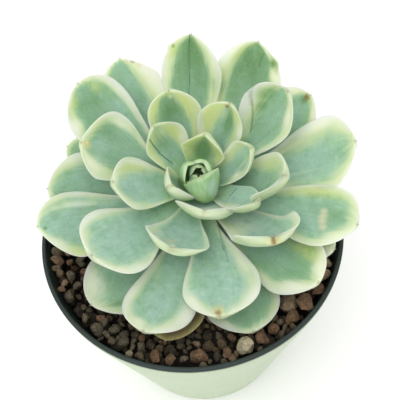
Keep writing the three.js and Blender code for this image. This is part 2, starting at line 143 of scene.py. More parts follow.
# How each leaf is coloured: width in mm of its pale margin on the left, on the right and at the tip,
# then how yellow the margin is, how powdery the middle and how vivid the green.
LEAF_LOOKS = {
    "leaf_01": (0.9, 0.8, 0.6, 0.9, 0.0, 1.0),
    "leaf_02": (2.0, 2.0, 1.5, 0.4, 0.4, 0.2),
    "leaf_03": (3.0, 3.0, 3.5, 0.35, 0.6, 0.1),
    "leaf_04": (2.6, 1.6, 0.4, 0.7, 0.4, 0.3),
    "leaf_05": (2.8, 3.2, 0.4, 0.8, 0.3, 0.5),
    "leaf_06": (0.1, 2.5, 1.4, 0.4, 0.5, 0.1),
    "leaf_07": (2.6, 2.5, 1.2, 0.5, 0.4, 0.2),
    "leaf_08": (1.0, 1.6, 2.4, 0.35, 0.8, 0.1),
    "leaf_09": (4.5, 2.2, 0.6, 1.0, 0.3, 0.3),
    "leaf_10": (2.6, 3.8, 0.4, 0.9, 0.2, 0.6),
    "leaf_11": (1.6, 2.9, 1.4, 0.6, 0.8, 0.0),
    "leaf_12": (0.9, 2.9, 2.0, 0.45, 0.7, 0.0),
    "leaf_13": (3.4, 1.9, 0.8, 0.35, 0.4, 0.5),
    "leaf_14": (2.6, 1.9, 1.7, 0.4, 0.4, 0.4),
    "leaf_15": (1.4, 2.1, 2.2, 0.2, 0.8, 0.0),
    "leaf_16": (3.2, 1.4, 2.5, 0.2, 0.9, 0.0),
    "leaf_17": (1.6, 2.1, 2.9, 0.25, 0.5, 0.3),
    "leaf_18": (1.3, 2.2, 2.6, 0.4, 0.25, 0.7),
    "leaf_19": (2.1, 1.8, 1.9, 0.3, 0.7, 0.1),
    "leaf_20": (2.1, 1.8, 0.6, 0.2, 0.8, 0.1),
    "leaf_21": (1.9, 2.1, 0.8, 0.2, 0.5, 0.5),
    "leaf_22": (3.8, 2.7, 1.7, 0.3, 0.7, 0.0),
    "leaf_23": (2.7, 2.7, 1.0, 0.3, 0.2, 1.0),
    "leaf_24": (3.4, 2.1, 0.4, 0.4, 0.3, 1.0),
    "leaf_25": (1.2, 2.4, 1.3, 0.25, 0.4, 0.2),
    "leaf_26": (1.0, 3.8, 0.5, 0.4, 0.5, 0.2),
    "leaf_27": (1.9, 2.7, 0.7, 0.5, 0.4, 0.1),
    "leaf_28": (1.9, 1.4, 1.4, 0.35, 0.3, 0.4),
    "leaf_29": (1.9, 1.6, 1.7, 0.3, 0.5, 0.2),
    "leaf_30": (1.6, 1.6, 1.3, 0.3, 0.4, 0.2),
    "leaf_31": (1.6, 1.6, 2.1, 0.2, 0.5, 0.0),
    "dry_leaf": (2.0, 2.6, 2.0, 0.4, 0.2, 0.0),
    "bud_hood": (0.8, 0.8, 0.8, 0.5, 0.6, 0.3),
    "bud_left": (0.9, 0.7, 0.6, 0.5, 0.5, 0.3),
    "bud_right": (0.7, 0.9, 0.6, 0.5, 0.5, 0.3),
    "bud_back": (0.6, 0.6, 0.5, 0.5, 0.5, 0.5),
    "bud_inner": (0.5, 0.5, 0.4, 0.3, 0.8, 0.2),
    "bud_heart": (0.5, 0.5, 0.4, 0.3, 0.8, 0.2),
}

# Soft washes of colour on a blade: kind, across (1 left, -1 right), along (0 foot, 1 tip), half width, half
# length and strength. Deep is a vivid green, lime a yellow green, cream a pale margin, mint a bluish bloom.
LEAF_WASHES = {
    "leaf_01": [
        ("deep", 0.05, 0.46, 0.32, 0.32, 1.4), ("lime", 0.7, 0.6, 0.6, 0.45, 1.2),
        ("lime", -0.7, 0.65, 0.5, 0.4, 1.1),
    ],
    "leaf_02": [("mint", 0.0, 0.5, 0.6, 0.3, 0.6), ("lime", -0.8, 0.6, 0.25, 0.3, 0.5)],
    "leaf_03": [("mint", 0.0, 0.5, 0.9, 0.35, 1.0), ("cream", 0.0, 0.7, 0.8, 0.25, 0.8)],
    "leaf_04": [
        ("lime", 0.75, 0.7, 0.22, 0.22, 0.4), ("mint", 0.3, 0.72, 0.25, 0.22, 0.7),
        ("cream", -0.5, 0.55, 0.3, 0.12, 0.8), ("cream", -0.2, 0.7, 0.08, 0.2, 0.5),
        ("mint", -0.6, 0.82, 0.3, 0.1, 0.5),
    ],
    "leaf_05": [
        ("lime", 0.85, 0.7, 0.3, 0.3, 0.6), ("deep", 0.1, 0.75, 0.25, 0.22, 0.6),
        ("lime", -0.55, 0.75, 0.3, 0.17, 1.0), ("cream", -0.75, 0.6, 0.2, 0.12, 0.5),
        ("mint", 0.15, 0.6, 0.15, 0.12, 0.5),
    ],
    "leaf_06": [("mint", 0.2, 0.6, 0.5, 0.2, 0.9), ("lime", 0.0, 0.3, 0.7, 0.1, 0.4)],
    "leaf_07": [
        ("lime", 0.55, 0.78, 0.25, 0.17, 0.6), ("mint", 0.4, 0.92, 0.3, 0.07, 0.6),
        ("mint", 0.2, 0.6, 0.3, 0.1, 0.5),
    ],
    "leaf_08": [
        ("mint", 0.0, 0.65, 0.8, 0.4, 1.0), ("cream", -0.6, 0.82, 0.25, 0.2, 0.5),
        ("cream", 0.0, 0.92, 0.06, 0.1, 0.7),
    ],
    "leaf_09": [
        ("lime", 0.62, 0.8, 0.4, 0.16, 1.0), ("lime", 0.5, 0.64, 0.3, 0.1, 0.5),
        ("deep", -0.28, 0.78, 0.16, 0.16, 1.0), ("lime", -0.6, 0.87, 0.3, 0.1, 0.6),
        ("cream", -0.85, 0.74, 0.2, 0.12, 0.8), ("mint", 0.1, 0.58, 0.3, 0.1, 0.5),
    ],
    "leaf_10": [
        ("lime", 0.8, 0.85, 0.25, 0.13, 0.8), ("deep", 0.1, 0.8, 0.3, 0.13, 0.9),
        ("lime", -0.6, 0.82, 0.3, 0.15, 1.0), ("lime", 0.1, 0.96, 0.4, 0.03, 0.7),
        ("mint", 0.0, 0.68, 0.2, 0.05, 0.6), ("mint", -0.3, 0.5, 0.3, 0.1, 0.5),
    ],
    "leaf_11": [
        ("mint", 0.1, 0.72, 0.45, 0.3, 1.0), ("lime", -0.6, 0.68, 0.2, 0.25, 0.7),
        ("cream", 0.85, 0.8, 0.22, 0.2, 0.6), ("cream", -0.1, 0.95, 0.5, 0.05, 0.6),
        ("cream", -0.85, 0.6, 0.12, 0.3, 0.5),
    ],
    "leaf_12": [
        ("mint", 0.1, 0.66, 0.7, 0.3, 1.2), ("cream", -0.1, 0.45, 0.8, 0.2, 0.7),
        ("cream", 0.88, 0.75, 0.15, 0.16, 0.7), ("lime", -0.3, 0.5, 0.4, 0.12, 0.4),
        ("cream", -0.9, 0.7, 0.2, 0.2, 0.5),
    ],
    "leaf_13": [
        ("deep", 0.62, 0.88, 0.22, 0.07, 0.9), ("deep", 0.5, 0.78, 0.14, 0.08, 0.8),
        ("deep", 0.3, 0.66, 0.1, 0.1, 0.5), ("cream", 0.9, 0.72, 0.2, 0.12, 0.9),
        ("cream", -0.6, 0.86, 0.25, 0.1, 0.8), ("lime", -0.92, 0.83, 0.14, 0.12, 0.5),
        ("mint", -0.1, 0.76, 0.25, 0.16, 0.5),
    ],
    "leaf_14": [
        ("cream", 0.65, 0.85, 0.25, 0.13, 0.9), ("mint", 0.05, 0.83, 0.22, 0.1, 0.9),
        ("deep", -0.45, 0.84, 0.18, 0.1, 0.6), ("lime", 0.05, 0.96, 0.3, 0.03, 0.5),
        ("cream", -0.72, 0.72, 0.12, 0.12, 0.6), ("mint", 0.0, 0.6, 0.4, 0.12, 0.4),
    ],
    "leaf_15": [
        ("mint", 0.0, 0.75, 0.7, 0.3, 1.0), ("cream", 0.85, 0.82, 0.22, 0.16, 0.7),
        ("cream", -0.88, 0.8, 0.12, 0.16, 0.6), ("deep", -0.3, 0.46, 0.2, 0.06, 0.4),
    ],
    "leaf_16": [
        ("mint", 0.1, 0.78, 0.6, 0.2, 1.0), ("cream", 0.85, 0.9, 0.3, 0.09, 0.8),
        ("cream", -0.82, 0.84, 0.2, 0.1, 0.7), ("deep", 0.4, 0.42, 0.3, 0.08, 0.4),
    ],
    "leaf_17": [
        ("deep", 0.15, 0.87, 0.35, 0.1, 0.4), ("lime", 0.75, 0.68, 0.2, 0.22, 1.0),
        ("mint", -0.4, 0.72, 0.35, 0.12, 0.8), ("cream", -0.72, 0.9, 0.3, 0.08, 0.6),
        ("deep", 0.65, 0.72, 0.08, 0.1, 0.4), ("mint", 0.2, 0.65, 0.2, 0.1, 0.5),
    ],
    "leaf_18": [
        ("cream", 0.6, 0.94, 0.4, 0.06, 0.9), ("cream", -0.62, 0.9, 0.3, 0.09, 0.9),
        ("lime", 0.6, 0.8, 0.25, 0.14, 1.0), ("deep", -0.15, 0.84, 0.25, 0.1, 0.3),
        ("mint", 0.0, 0.65, 0.4, 0.14, 0.7),
    ],
    "leaf_19": [
        ("cream", 0.8, 0.82, 0.28, 0.12, 0.9), ("mint", 0.05, 0.8, 0.4, 0.15, 0.9),
        ("deep", 0.25, 0.9, 0.15, 0.06, 0.4), ("cream", -0.9, 0.75, 0.15, 0.2, 0.8),
        ("cream", -0.4, 0.95, 0.35, 0.03, 0.6), ("lime", -0.55, 0.6, 0.2, 0.1, 0.4),
    ],
    "leaf_20": [
        ("lime", 0.85, 0.8, 0.2, 0.06, 0.7), ("mint", 0.0, 0.84, 0.4, 0.15, 1.0),
        ("cream", -0.6, 0.74, 0.1, 0.2, 0.7), ("cream", 0.7, 0.9, 0.3, 0.08, 0.6),
        ("lime", -0.92, 0.85, 0.14, 0.1, 0.4),
    ],
    "leaf_21": [
        ("deep", 0.0, 0.87, 0.28, 0.08, 0.6), ("lime", 0.55, 0.93, 0.3, 0.05, 0.6),
        ("lime", -0.45, 0.91, 0.25, 0.06, 0.6), ("cream", 0.9, 0.82, 0.35, 0.06, 0.9),
        ("cream", -0.9, 0.78, 0.16, 0.2, 0.7), ("mint", -0.5, 0.62, 0.3, 0.16, 0.8),
        ("deep", 0.85, 0.9, 0.14, 0.05, 0.4),
    ],
    "leaf_22": [
        ("cream", 0.9, 0.8, 0.25, 0.14, 1.0), ("lime", 0.5, 0.72, 0.16, 0.2, 0.4),
        ("deep", -0.15, 0.92, 0.35, 0.07, 0.4), ("mint", -0.05, 0.7, 0.4, 0.16, 0.9),
        ("lime", -0.87, 0.85, 0.15, 0.1, 0.5), ("cream", -0.3, 0.62, 0.06, 0.15, 0.4),
    ],
    "leaf_23": [
        ("deep", -0.1, 0.9, 0.42, 0.12, 1.0), ("deep", -0.2, 0.78, 0.2, 0.12, 0.6),
        ("lime", 0.75, 0.9, 0.3, 0.06, 0.7), ("lime", -0.35, 0.93, 0.2, 0.06, 0.6),
        ("cream", 0.88, 0.74, 0.25, 0.12, 0.4), ("cream", -0.8, 0.78, 0.17, 0.1, 0.5),
        ("lime", -0.8, 0.6, 0.2, 0.08, 0.5), ("mint", 0.1, 0.65, 0.3, 0.1, 0.4),
    ],
    "leaf_24": [
        ("cream", 0.9, 0.88, 0.22, 0.1, 0.9), ("lime", 0.6, 0.9, 0.18, 0.08, 0.7),
        ("deep", 0.1, 0.87, 0.45, 0.13, 0.9), ("deep", -0.82, 0.9, 0.12, 0.04, 0.9),
        ("cream", -0.75, 0.83, 0.2, 0.05, 0.8), ("lime", 0.3, 0.96, 0.25, 0.03, 0.6),
    ],
    "leaf_25": [("mint", -0.2, 0.8, 0.35, 0.2, 0.7), ("cream", -0.9, 0.82, 0.25, 0.1, 0.7)],
    "leaf_26": [
        ("cream", -0.8, 0.8, 0.45, 0.15, 1.0), ("lime", -0.5, 0.66, 0.3, 0.08, 0.4),
        ("mint", 0.15, 0.85, 0.35, 0.15, 0.6), ("deep", 0.3, 0.93, 0.3, 0.05, 0.3),
    ],
    "leaf_27": [
        ("cream", 0.75, 0.92, 0.3, 0.05, 0.8), ("cream", -0.75, 0.92, 0.3, 0.05, 0.8),
        ("mint", 0.1, 0.8, 0.5, 0.14, 0.9), ("lime", 0.0, 0.96, 0.3, 0.02, 0.8),
    ],
    "leaf_28": [
        ("deep", 0.0, 0.92, 0.4, 0.06, 0.4), ("cream", -0.8, 0.9, 0.3, 0.06, 0.7),
        ("lime", 0.8, 0.9, 0.3, 0.05, 0.4),
    ],
    "leaf_29": [
        ("deep", 0.45, 0.87, 0.15, 0.06, 0.7), ("cream", -0.5, 0.88, 0.5, 0.08, 0.8),
        ("lime", 0.75, 0.93, 0.3, 0.04, 0.5),
    ],
    "leaf_31": [
        # The first cream wash is partly leaf_31's own pale colour and partly painted light, lifting the part
        # that lies in the shade of leaf_16.
        ("cream", -0.5, 0.8, 0.6, 0.3, 1.2), ("mint", -0.1, 0.86, 0.4, 0.08, 0.7),
        ("cream", 0.8, 0.85, 0.3, 0.1, 0.6),
    ],
    "bud_hood": [("mint", 0.5, 0.6, 0.3, 0.3, 0.9), ("lime", -0.2, 0.55, 0.4, 0.25, 0.5)],
}

# How full each leaf's end is on the left and on the right: below 1 pointed, 1 round, above 1 square.
LEAF_ENDS = {
    "leaf_01": (0.65, 0.65), "leaf_04": (1.5, 0.8), "leaf_05": (0.8, 1.3), "leaf_06": (0.8, 1.2),
    "leaf_07": (1.25, 1.0), "leaf_08": (1.8, 1.3), "leaf_09": (0.9, 0.9), "leaf_10": (1.25, 0.95),
    "leaf_11": (0.85, 0.95), "leaf_12": (1.5, 1.0), "leaf_13": (1.6, 0.85), "leaf_14": (0.8, 0.95),
    "leaf_15": (1.1, 1.1), "leaf_16": (1.35, 0.8), "leaf_17": (1.3, 0.8), "leaf_18": (1.0, 0.85),
    "leaf_19": (1.05, 1.0), "leaf_20": (0.75, 0.9), "leaf_21": (1.0, 1.0), "leaf_22": (1.1, 0.75),
    "leaf_23": (1.0, 0.7), "leaf_24": (0.85, 0.75), "leaf_26": (1.3, 0.6), "leaf_27": (1.0, 0.9),
    "leaf_28": (1.1, 0.8), "bud_back": (1.3, 1.3), "bud_hood": (1.6, 0.85), "bud_left": (1.0, 1.0),
    "bud_right": (1.3, 1.3),
}

# The youngest leaves wrap the stem with a broad foot; the older a leaf, the narrower its neck.
INNER_LEAVES = [f"leaf_{n:02d}" for n in range(1, 8)] + list(BUD_ROWS)
SHORT_NECKS = [f"leaf_{n:02d}" for n in (8, 9, 10, 12, 18)]

# How far the corners of a blade's end are drawn up, left and right, in mm.
LEAF_HORNS = {
    "leaf_03": (1.0, 0.4), "leaf_07": (0.0, 4.0), "leaf_08": (0.6, 0.8), "leaf_12": (2.8, 1.4),
    "leaf_13": (2.5, 0.0), "bud_hood": (2.4, 0.0),
}

# Small shoulders on a margin: side (1 left, -1 right), along, size and reach.
LEAF_NUBS = {"leaf_23": [(1, 0.93, 0.7, 0.02)], "leaf_24": [(-1, 0.92, 1.1, 0.03)]}

# Creases on a blade, with painted shade along them: start and end as (across, along) in mm, half width, depth
# of the groove and how faint the painted shade is, from 0 for black to 1 for hardly seen.
CREASES = {
    "leaf_05": [((3.3, 16.0), (3.0, 10.0), 0.3, 0.4, 0.5), ((3.0, 10.0), (1.6, 5.0), 0.3, 0.3, 0.6)],
    "leaf_06": [((2.6, 10.5), (-0.3, 8.8), 0.2, 0.1, 0.2), ((-0.3, 8.8), (-4.6, 10.2), 0.16, 0.1, 0.3)],
    "leaf_13": [((7.4, 33.6), (4.6, 27.0), 0.5, 0.5, 0.6), ((4.6, 27.0), (0.7, 19.8), 0.4, 0.4, 0.7)],
    "leaf_16": [((4.2, 9.0), (4.4, 19.0), 0.2, 0.2, 0.2), ((4.8, 15.0), (4.9, 24.0), 0.2, 0.2, 0.4)],
    "leaf_23": [((0.5, 43.0), (1.6, 24.0), 0.2, 0.35, 0.3)],
    "leaf_24": [((-2.6, 42.8), (-2.9, 38.5), 0.25, 0.2, 0.5)],
}

# Blemishes: across and along in mm, radius and kind.
SPOTS = {
    "leaf_02": [(-0.6, 11.0, 0.6, "brown")],
    "leaf_08": [(-1.3, 20.0, 1.6, "stain")],
    "leaf_09": [(0.3, 22.2, 0.8, "brown")],
    "leaf_10": [(0.0, 24.0, 0.7, "pale")],
    "leaf_12": [(0.0, 32.9, 0.85, "brown"), (0.3, 32.2, 2.0, "stain")],
    "leaf_14": [(-0.4, 31.6, 1.4, "stain"), (-0.8, 31.8, 0.5, "pale")],
    "leaf_16": [(-0.2, 39.0, 1.0, "brown"), (0.0, 38.4, 2.0, "stain")],
    "leaf_17": [
        (-0.8, 36.9, 1.5, "pale"), (0.7, 36.7, 1.5, "pale"), (2.0, 36.4, 1.2, "pale"),
        (-2.4, 37.5, 1.3, "pale"),
    ],
    "leaf_20": [(0.9, 43.0, 0.6, "green")],
    "leaf_23": [(5.5, 40.3, 0.7, "green")],
    "leaf_24": [(-6.6, 41.2, 1.3, "green")],
    "leaf_26": [(-1.7, 43.2, 1.1, "stain"), (-3.1, 42.2, 1.0, "brown"), (-4.1, 40.6, 1.3, "stain")],
    "leaf_27": [(0.4, 40.9, 1.1, "brown"), (0.4, 39.9, 1.5, "green")],
}

# Larger stones that can be told apart in the soil: place in mm, radius, tone (0 dark, 1 pale) and brightness.
STONES = [
    (11.4, -37.2, 2.7, 0.96, 1), (30.6, -28.9, 2.8, 0.76, 0.83), (25.4, -31.4, 2.4, 0.66, 0.78),
    (38.8, -16.3, 2.4, 0.9, 0.95), (37.6, -20.8, 2.4, 0.84, 0.88), (34.6, -24.4, 1.9, 0.7, 0.73),
    (25.5, -25.9, 2.6, 0.88, 0.83), (19.9, -33.6, 1.9, 0.68, 0.73), (16.4, -36.2, 1.9, 0.72, 0.73),
    (-1.4, -39.2, 2.9, 0.7, 0.85), (-12.6, -38.4, 1.9, 0.66, 0.8), (-8.8, -39.6, 1.7, 0.62, 0.8),
    (-5.2, -40, 1.4, 0.3, 0.9), (6.6, -39.2, 1.7, 0.74, 0.75), (40.2, -11.6, 2.2, 0.8, 0.78),
    (-40.9, -6, 2.1, 0.8, 0.85), (-41, -8.9, 1.6, 0.45, 0.85), (-37.6, -6.6, 1.5, 0.72, 0.75),
    (-39.6, -10.6, 1.5, 0.58, 0.9), (-38.3, -14, 1.2, 0.84, 0.8), (-39, -15.8, 1.3, 0.78, 0.7),
    (-35, -14.5, 1.5, 0.2, 0.85), (-36.8, -11.5, 2, 0.3, 0.8), (-37.6, -18.8, 2.1, 0.25, 0.7),
    (-31.9, -25.4, 1.9, 0.5, 0.9), (-28, -25.6, 1.5, 0.76, 0.6),
]


def smooth(low, high, x):
    """0 below low, 1 above high, and 3t2 - 2t3 between them."""
    t = np.clip((x - low) / (high - low), 0.0, 1.0)
    return t * t * (3.0 - 2.0 * t)


def bulge(s):
    """6.75 s2 (1 - s): 0 at the foot and at the tip, 1 at two thirds of the length."""
    return s * s * (1 - s) * 6.75


def to_frame(points):
    """Points of the crown frame in the part's own frame, in mm: crown + x across + y along + z axis."""
    return CROWN + points @ np.stack([ACROSS, ALONG, AXIS])


def neck(name):
    """Share of the width at a leaf's foot, and how long its narrow neck is."""
    if name == "bud_hood":
        return 0.85, 0.8
    if name in INNER_LEAVES:
        return 0.55, 0.9
    if name == "leaf_11":
        return 0.45, 0.9
    return (0.3, 1.2) if name in SHORT_NECKS else (0.3, 1.8)


def half_width(s, length, width, wide, full, foot_share, slim):
    """Half width at a share s: a narrower foot, a smooth rise to where it is wide, then an end that is
    pointed for full below 1, round at 1 and square above it, with a short point."""
    body = length - POINT_LENGTH
    d = s * length
    rise = foot_share + (1 - foot_share) * smooth(0, wide * body, d) ** slim
    y = np.clip((d - wide * body) / ((1 - wide) * body), 0, 1)
    end = 0.5 * width * np.clip(1 - y ** (2.1 * full), 0, 1) ** (0.5 / full)
    tip = POINT_HALF_WIDTH * np.clip((length - d) / POINT_TAPER, 0, 1) ** 1.1
    return np.where(d < wide * body, 0.5 * width * rise, np.maximum(np.maximum(end, tip), 0.1))


def half_widths(name, leaf, s, length):
    """The left and the right half width of a named leaf, with its own ends, neck and small shoulders."""
    ends = LEAF_ENDS.get(name, USUAL_ENDS)
    sides = [half_width(s, length, leaf.width, leaf.wide, full, *neck(name)) for full in ends]
    for side, along, size, reach in LEAF_NUBS.get(name, []):
        k = 0 if side > 0 else 1
        sides[k] = sides[k] + size * np.exp(-(((s - along) / reach) ** 2))
    return sides


def spine(leaf, s):
    """A cubic from the foot on the stem to the tip: points, directions, sideways and upward vectors, length.
    Its inner points lie SPINE_ARM of the length from its ends, turned below the straight line by the arch."""
    rad = np.radians

    def out(turn, tilt):
        return np.array([np.cos(tilt) * np.cos(turn), np.cos(tilt) * np.sin(turn), np.sin(tilt)])

    foot_turn = rad(leaf.azimuth - leaf.sweep)
    turn = rad(leaf.azimuth)
    start = np.array([FOOT_RADIUS * np.cos(foot_turn), FOOT_RADIUS * np.sin(foot_turn), leaf.foot])
    end = np.array([leaf.reach * np.cos(turn), leaf.reach * np.sin(turn), leaf.rise])
    length = np.linalg.norm(end - start)
    slope = np.arctan2(leaf.rise - leaf.foot, leaf.reach - FOOT_RADIUS)
    first = start + SPINE_ARM * length * out(foot_turn, slope - rad(leaf.arch))
    second = end - SPINE_ARM * length * out(rad(leaf.azimuth + leaf.sweep), slope + rad(leaf.arch))
    u = s[:, None]
    t = 1 - u
    points = t ** 3 * start + 3 * u * t * t * first + 3 * u * u * t * second + u ** 3 * end
    forward = unit(t * t * (first - start) + 2 * u * t * (second - first) + u * u * (end - second))
    facing = rad(leaf.azimuth + leaf.sweep * (2 * s - 1))
    level = np.stack([-np.sin(facing), np.cos(facing), 0 * facing], 1)
    side = unit(level - (forward * level).sum(1)[:, None] * forward)
    up = np.cross(forward, side)
    r = (rad(leaf.roll) * s)[:, None]
    side, up = np.cos(r) * side + np.sin(r) * up, np.cos(r) * up - np.sin(r) * side
    return points, forward, side, up, length


def closed_faces(rings, around, turned_over=False):
    """Quads of a tube of rings, and the triangles that close it at its two pole points."""
    i, j = np.meshgrid(np.arange(rings - 1), np.arange(around), indexing="ij")
    a = i * around + j
    b = i * around + (j + 1) % around
    quads = np.stack([a, a + around, b + around, b], -1).reshape(-1, 4)
    k = np.arange(around)
    after = (k + 1) % around
    last = (rings - 1) * around
    foot = np.full(around, rings * around)
    tip = foot + 1
    fans = np.concatenate([np.stack([k, after, foot], 1), np.stack([last + after, last + k, tip], 1)])
    if turned_over:
        return quads[:, ::-1], fans[:, ::-1]
    return quads, fans


def section(top_columns, under_columns):
    """Places v round a leaf, from the right margin at -1 over the upper face to the left one at 1 and back
    underneath, closer together near the margins, and 1 for each place on the upper face."""
    t = np.linspace(-1, 1, top_columns + 1)
    above = 0.5 * t + 0.5 * np.sin(math.pi * t / 2)
    below = np.sin(math.pi / 2 * np.linspace(1, -1, under_columns + 1)[1:-1])
    v = np.concatenate([above, below])[None, :]
    over = np.concatenate([np.ones(top_columns + 1), np.zeros(under_columns - 1)])[None, :]
    return v, over


def waves(flat_x, flat_y, v, phase):
    """Slow sine ripples of the two margins and of the middle, in mm."""
    outer = np.abs(v) ** 2
    ripple = 0.16 * np.sin(flat_y * 0.33 + phase[0]) * outer * np.sign(v + 1e-9)
    ripple = ripple + 0.12 * np.sin(flat_y * 0.55 + phase[1]) * outer
    return ripple + 0.1 * np.sin(flat_x * 0.8 + phase[2] + 0.08 * flat_y) * (1 - outer)


def creases(name, flat_x, flat_y, over):
    """How far each point lies from each crease's line, in half widths, which lays the painted shade along it,
    and the depth of the grooves there.
    """
    crease_shade = np.full(flat_x.shape + (3,), FAR)
    groove = 0 * flat_x
    for k, ((x0, y0), (x1, y1), half_line, deep, faint) in enumerate(CREASES.get(name, [])):
        run = math.hypot(x1 - x0, y1 - y0)
        away = ((flat_x - x0) * (y1 - y0) - (flat_y - y0) * (x1 - x0)) / run
        on = ((flat_x - x0) * (x1 - x0) + (flat_y - y0) * (y1 - y0)) / run ** 2
        fade = smooth(-0.08, 0.04, on) * smooth(-0.08, 0.04, 1 - on)
        crease_shade[..., k] = np.where(over > 0, np.hypot(away / half_line / np.maximum(fade, 0.05), faint), FAR)
        groove = groove + deep * fade * np.exp(-(away / GROOVE_WIDTH) ** 2) * over
    return crease_shade, groove


def edge_distance(name, leaf, flat_x, flat_y, length):
    """Distance in mm from each point of the flattened blade to the nearest of 240 places on each margin."""
    s = np.linspace(0, 1, 240)
    middle = leaf.skew * bulge(s)
    left, right = half_widths(name, leaf, s, length)
    edge = np.stack([np.concatenate([middle + left, middle - right]), np.tile(s * length, 2)], 1)
    edge = edge[edge[:, 1] > 0.1 * length]
    return np.hypot(flat_x[..., None] - edge[:, 0], flat_y[..., None] - edge[:, 1]).min(-1)


def washes(name, v, share, over):
    """Strength of each kind of wash: the strongest of its soft spots, strength times exp(-a2 - b2), with
    a and b the distances across and along in half widths and half lengths."""
    found = {}
    for kind in ("deep", "lime", "cream", "mint"):
        room = 1.35 if kind == "deep" else 1.0
        found[kind] = 0 * (v + share)
        for _, v0, s0, wide_v, long_s, strength in (w for w in LEAF_WASHES.get(name, []) if w[0] == kind):
            spot = strength * np.exp(-(((v - v0) / wide_v / room) ** 2) - ((share - s0) / long_s / room) ** 2)
            found[kind] = np.maximum(found[kind], spot * (over if name in LEAF_ROWS else 1))
    return found


def leaf_marks(name, leaf, v, over, share, flat_x, flat_y, length):
    """What the skins read at each point: distance to the edge in margin widths and in mm, upper face, tip,
    place along the leaf, washes, and distance to each kind of blemish in its own radii."""
    left, right, tip_width = LEAF_LOOKS[name][:3]
    gap = edge_distance(name, leaf, flat_x, flat_y, length)
    margin = right + (left - right) * smooth(-0.35, 0.35, v)
    at_tip = smooth(0.8, 0.97, share) * (1 - v ** 2)
    margin = (margin + (tip_width - margin) * at_tip) * (0.35 + 0.65 * smooth(0.25, 0.75, share))
    laid = washes(name, v, share, over)
    marks = {
        "margin": gap / (margin * (1 + 1.5 * laid["cream"])),
        "edge": gap + 1 - smooth(0.1, 0.35, share),
        "top": over + 0 * share,
        "tip": (1 - smooth(0.15, 0.95, np.hypot(flat_x, flat_y - length))) * (0.4 + 0.6 * over),
        "along": share + 0 * v,
        **laid,
    }
    for kind in ("brown", "stain", "green", "pale"):
        found = [np.hypot(flat_x - q[0], flat_y - q[1]) / q[2] for q in SPOTS.get(name, []) if q[3] == kind]
        marks[kind] = np.min(found, 0) if found else FAR + 0 * flat_x
    return marks


def blade(name, row, shift=0.0, stations=72, top_columns=56, under_columns=24, stout=1.0):
    """A leaf as a closed surface of two parameters. Along the leaf s runs from foot to tip; round it v runs
    over the upper face and back under it. A point is spine + x side + z up, where x is the arc's sine part,
    z is its bow, plus the margin's curl, plus a thin rounded rim above or a lens shaped belly below."""
    leaf = Leaf(*row)
    seed = sum(ord(c) * (i + 3) for i, c in enumerate(name)) % 97
    phase = np.random.default_rng(seed).uniform(0, 6.28, 3)
    s = np.sin(np.linspace(0, math.pi / 2, stations))
    points, forward, side, up, length = spine(leaf, s)
    v, over = section(top_columns, under_columns)
    share = s[:, None]
    half_left, half_right = (half[:, None] for half in half_widths(name, leaf, s, length))
    half = np.where(v > 0, half_left, half_right)
    bend = np.maximum(0.001, np.radians(leaf.cup) * (1 - 0.25 * share))
    outer = np.clip((np.abs(v) - 0.3) / 0.7, 0, 1) ** 2
    curl = np.where(v > 0, leaf.curl_left, leaf.curl_right) * outer * bulge(share)
    corner = smooth(0.25, 1, np.abs(v)) ** 2 * np.exp(-(((share - 0.84) / 0.12) ** 2))
    horn_left, horn_right = LEAF_HORNS.get(name, (0, 0))
    curl = curl + np.where(v > 0, horn_left, horn_right) * corner
    full = np.clip(0.5 * (half_left + half_right) / FULL_HALF_WIDTH, 0.14, 1)
    fattest = np.sin(math.pi * np.minimum(1, 0.15 + 0.85 * share)) ** 0.8
    thick = stout * (HALF_THICK + HALF_THICK * fattest) * full
    rim = RIM_HEIGHT * full * np.sqrt(np.clip(1 - np.abs(v) ** 12, 0, 1))
    belly = thick * (0.25 * np.sqrt(np.clip(1 - v ** 2, 0, 1)) + 0.75 * (1 - v ** 2))
    flat_x = half * v + leaf.skew * bulge(share)
    flat_y = share * length + 0 * v
    ripple = waves(flat_x, flat_y, v, phase) * smooth(0.25, 0.6, share) * full
    crease_shade, groove = creases(name, flat_x, flat_y, over)
    x = half * np.sin(bend * v) / bend + leaf.skew * bulge(share)
    z = half * (1 - np.cos(bend * v)) / bend + curl + ripple - BLADE_DROP - groove
    z = z + np.where(over > 0, rim, -belly)
    grid = points[:, None] + x[..., None] * side[:, None] + z[..., None] * up[:, None] + shift
    poles = np.stack([grid[0].mean(0), grid[-1].mean(0) + 0.12 * forward[-1]])

    own_place = 7.0 * seed + 0 * flat_x
    marks = leaf_marks(name, leaf, v, over, share, flat_x, flat_y, length)
    vectors = {
        "blade": np.stack([flat_x, flat_y, own_place], -1),
        "fan": np.stack([9.0 * v + 0 * flat_x, flat_y, own_place], -1),
        "mood": np.broadcast_to(LEAF_LOOKS[name][3:], flat_x.shape + (3,)),
        "crease_shade": crease_shade,
    }
    marks = {k: np.concatenate([m.ravel(), [m[0].mean(), m[-1].mean()]]) for k, m in marks.items()}
    vectors = {k: np.concatenate([m.reshape(-1, 3), m[0, :1], m[-1, :1]]) for k, m in vectors.items()}
    quads, fans = closed_faces(stations, v.shape[1])
    return to_frame(np.concatenate([grid.reshape(-1, 3), poles])), quads, fans, marks, vectors


def joined(parts):
    """Several closed surfaces as one: points and attributes stacked, face numbers moved on."""
    start = np.cumsum([0] + [len(p[0]) for p in parts])
    points = np.concatenate([p[0] for p in parts])
    quads = np.concatenate([p[1] + n for p, n in zip(parts, start)])
    fans = np.concatenate([p[2] + n for p, n in zip(parts, start)])
    marks = {k: np.concatenate([p[3][k] for p in parts]) for k in parts[0][3]}
    vectors = {k: np.concatenate([p[4][k] for p in parts]) for k in parts[0][4]}
    return points, quads, fans, marks, vectors


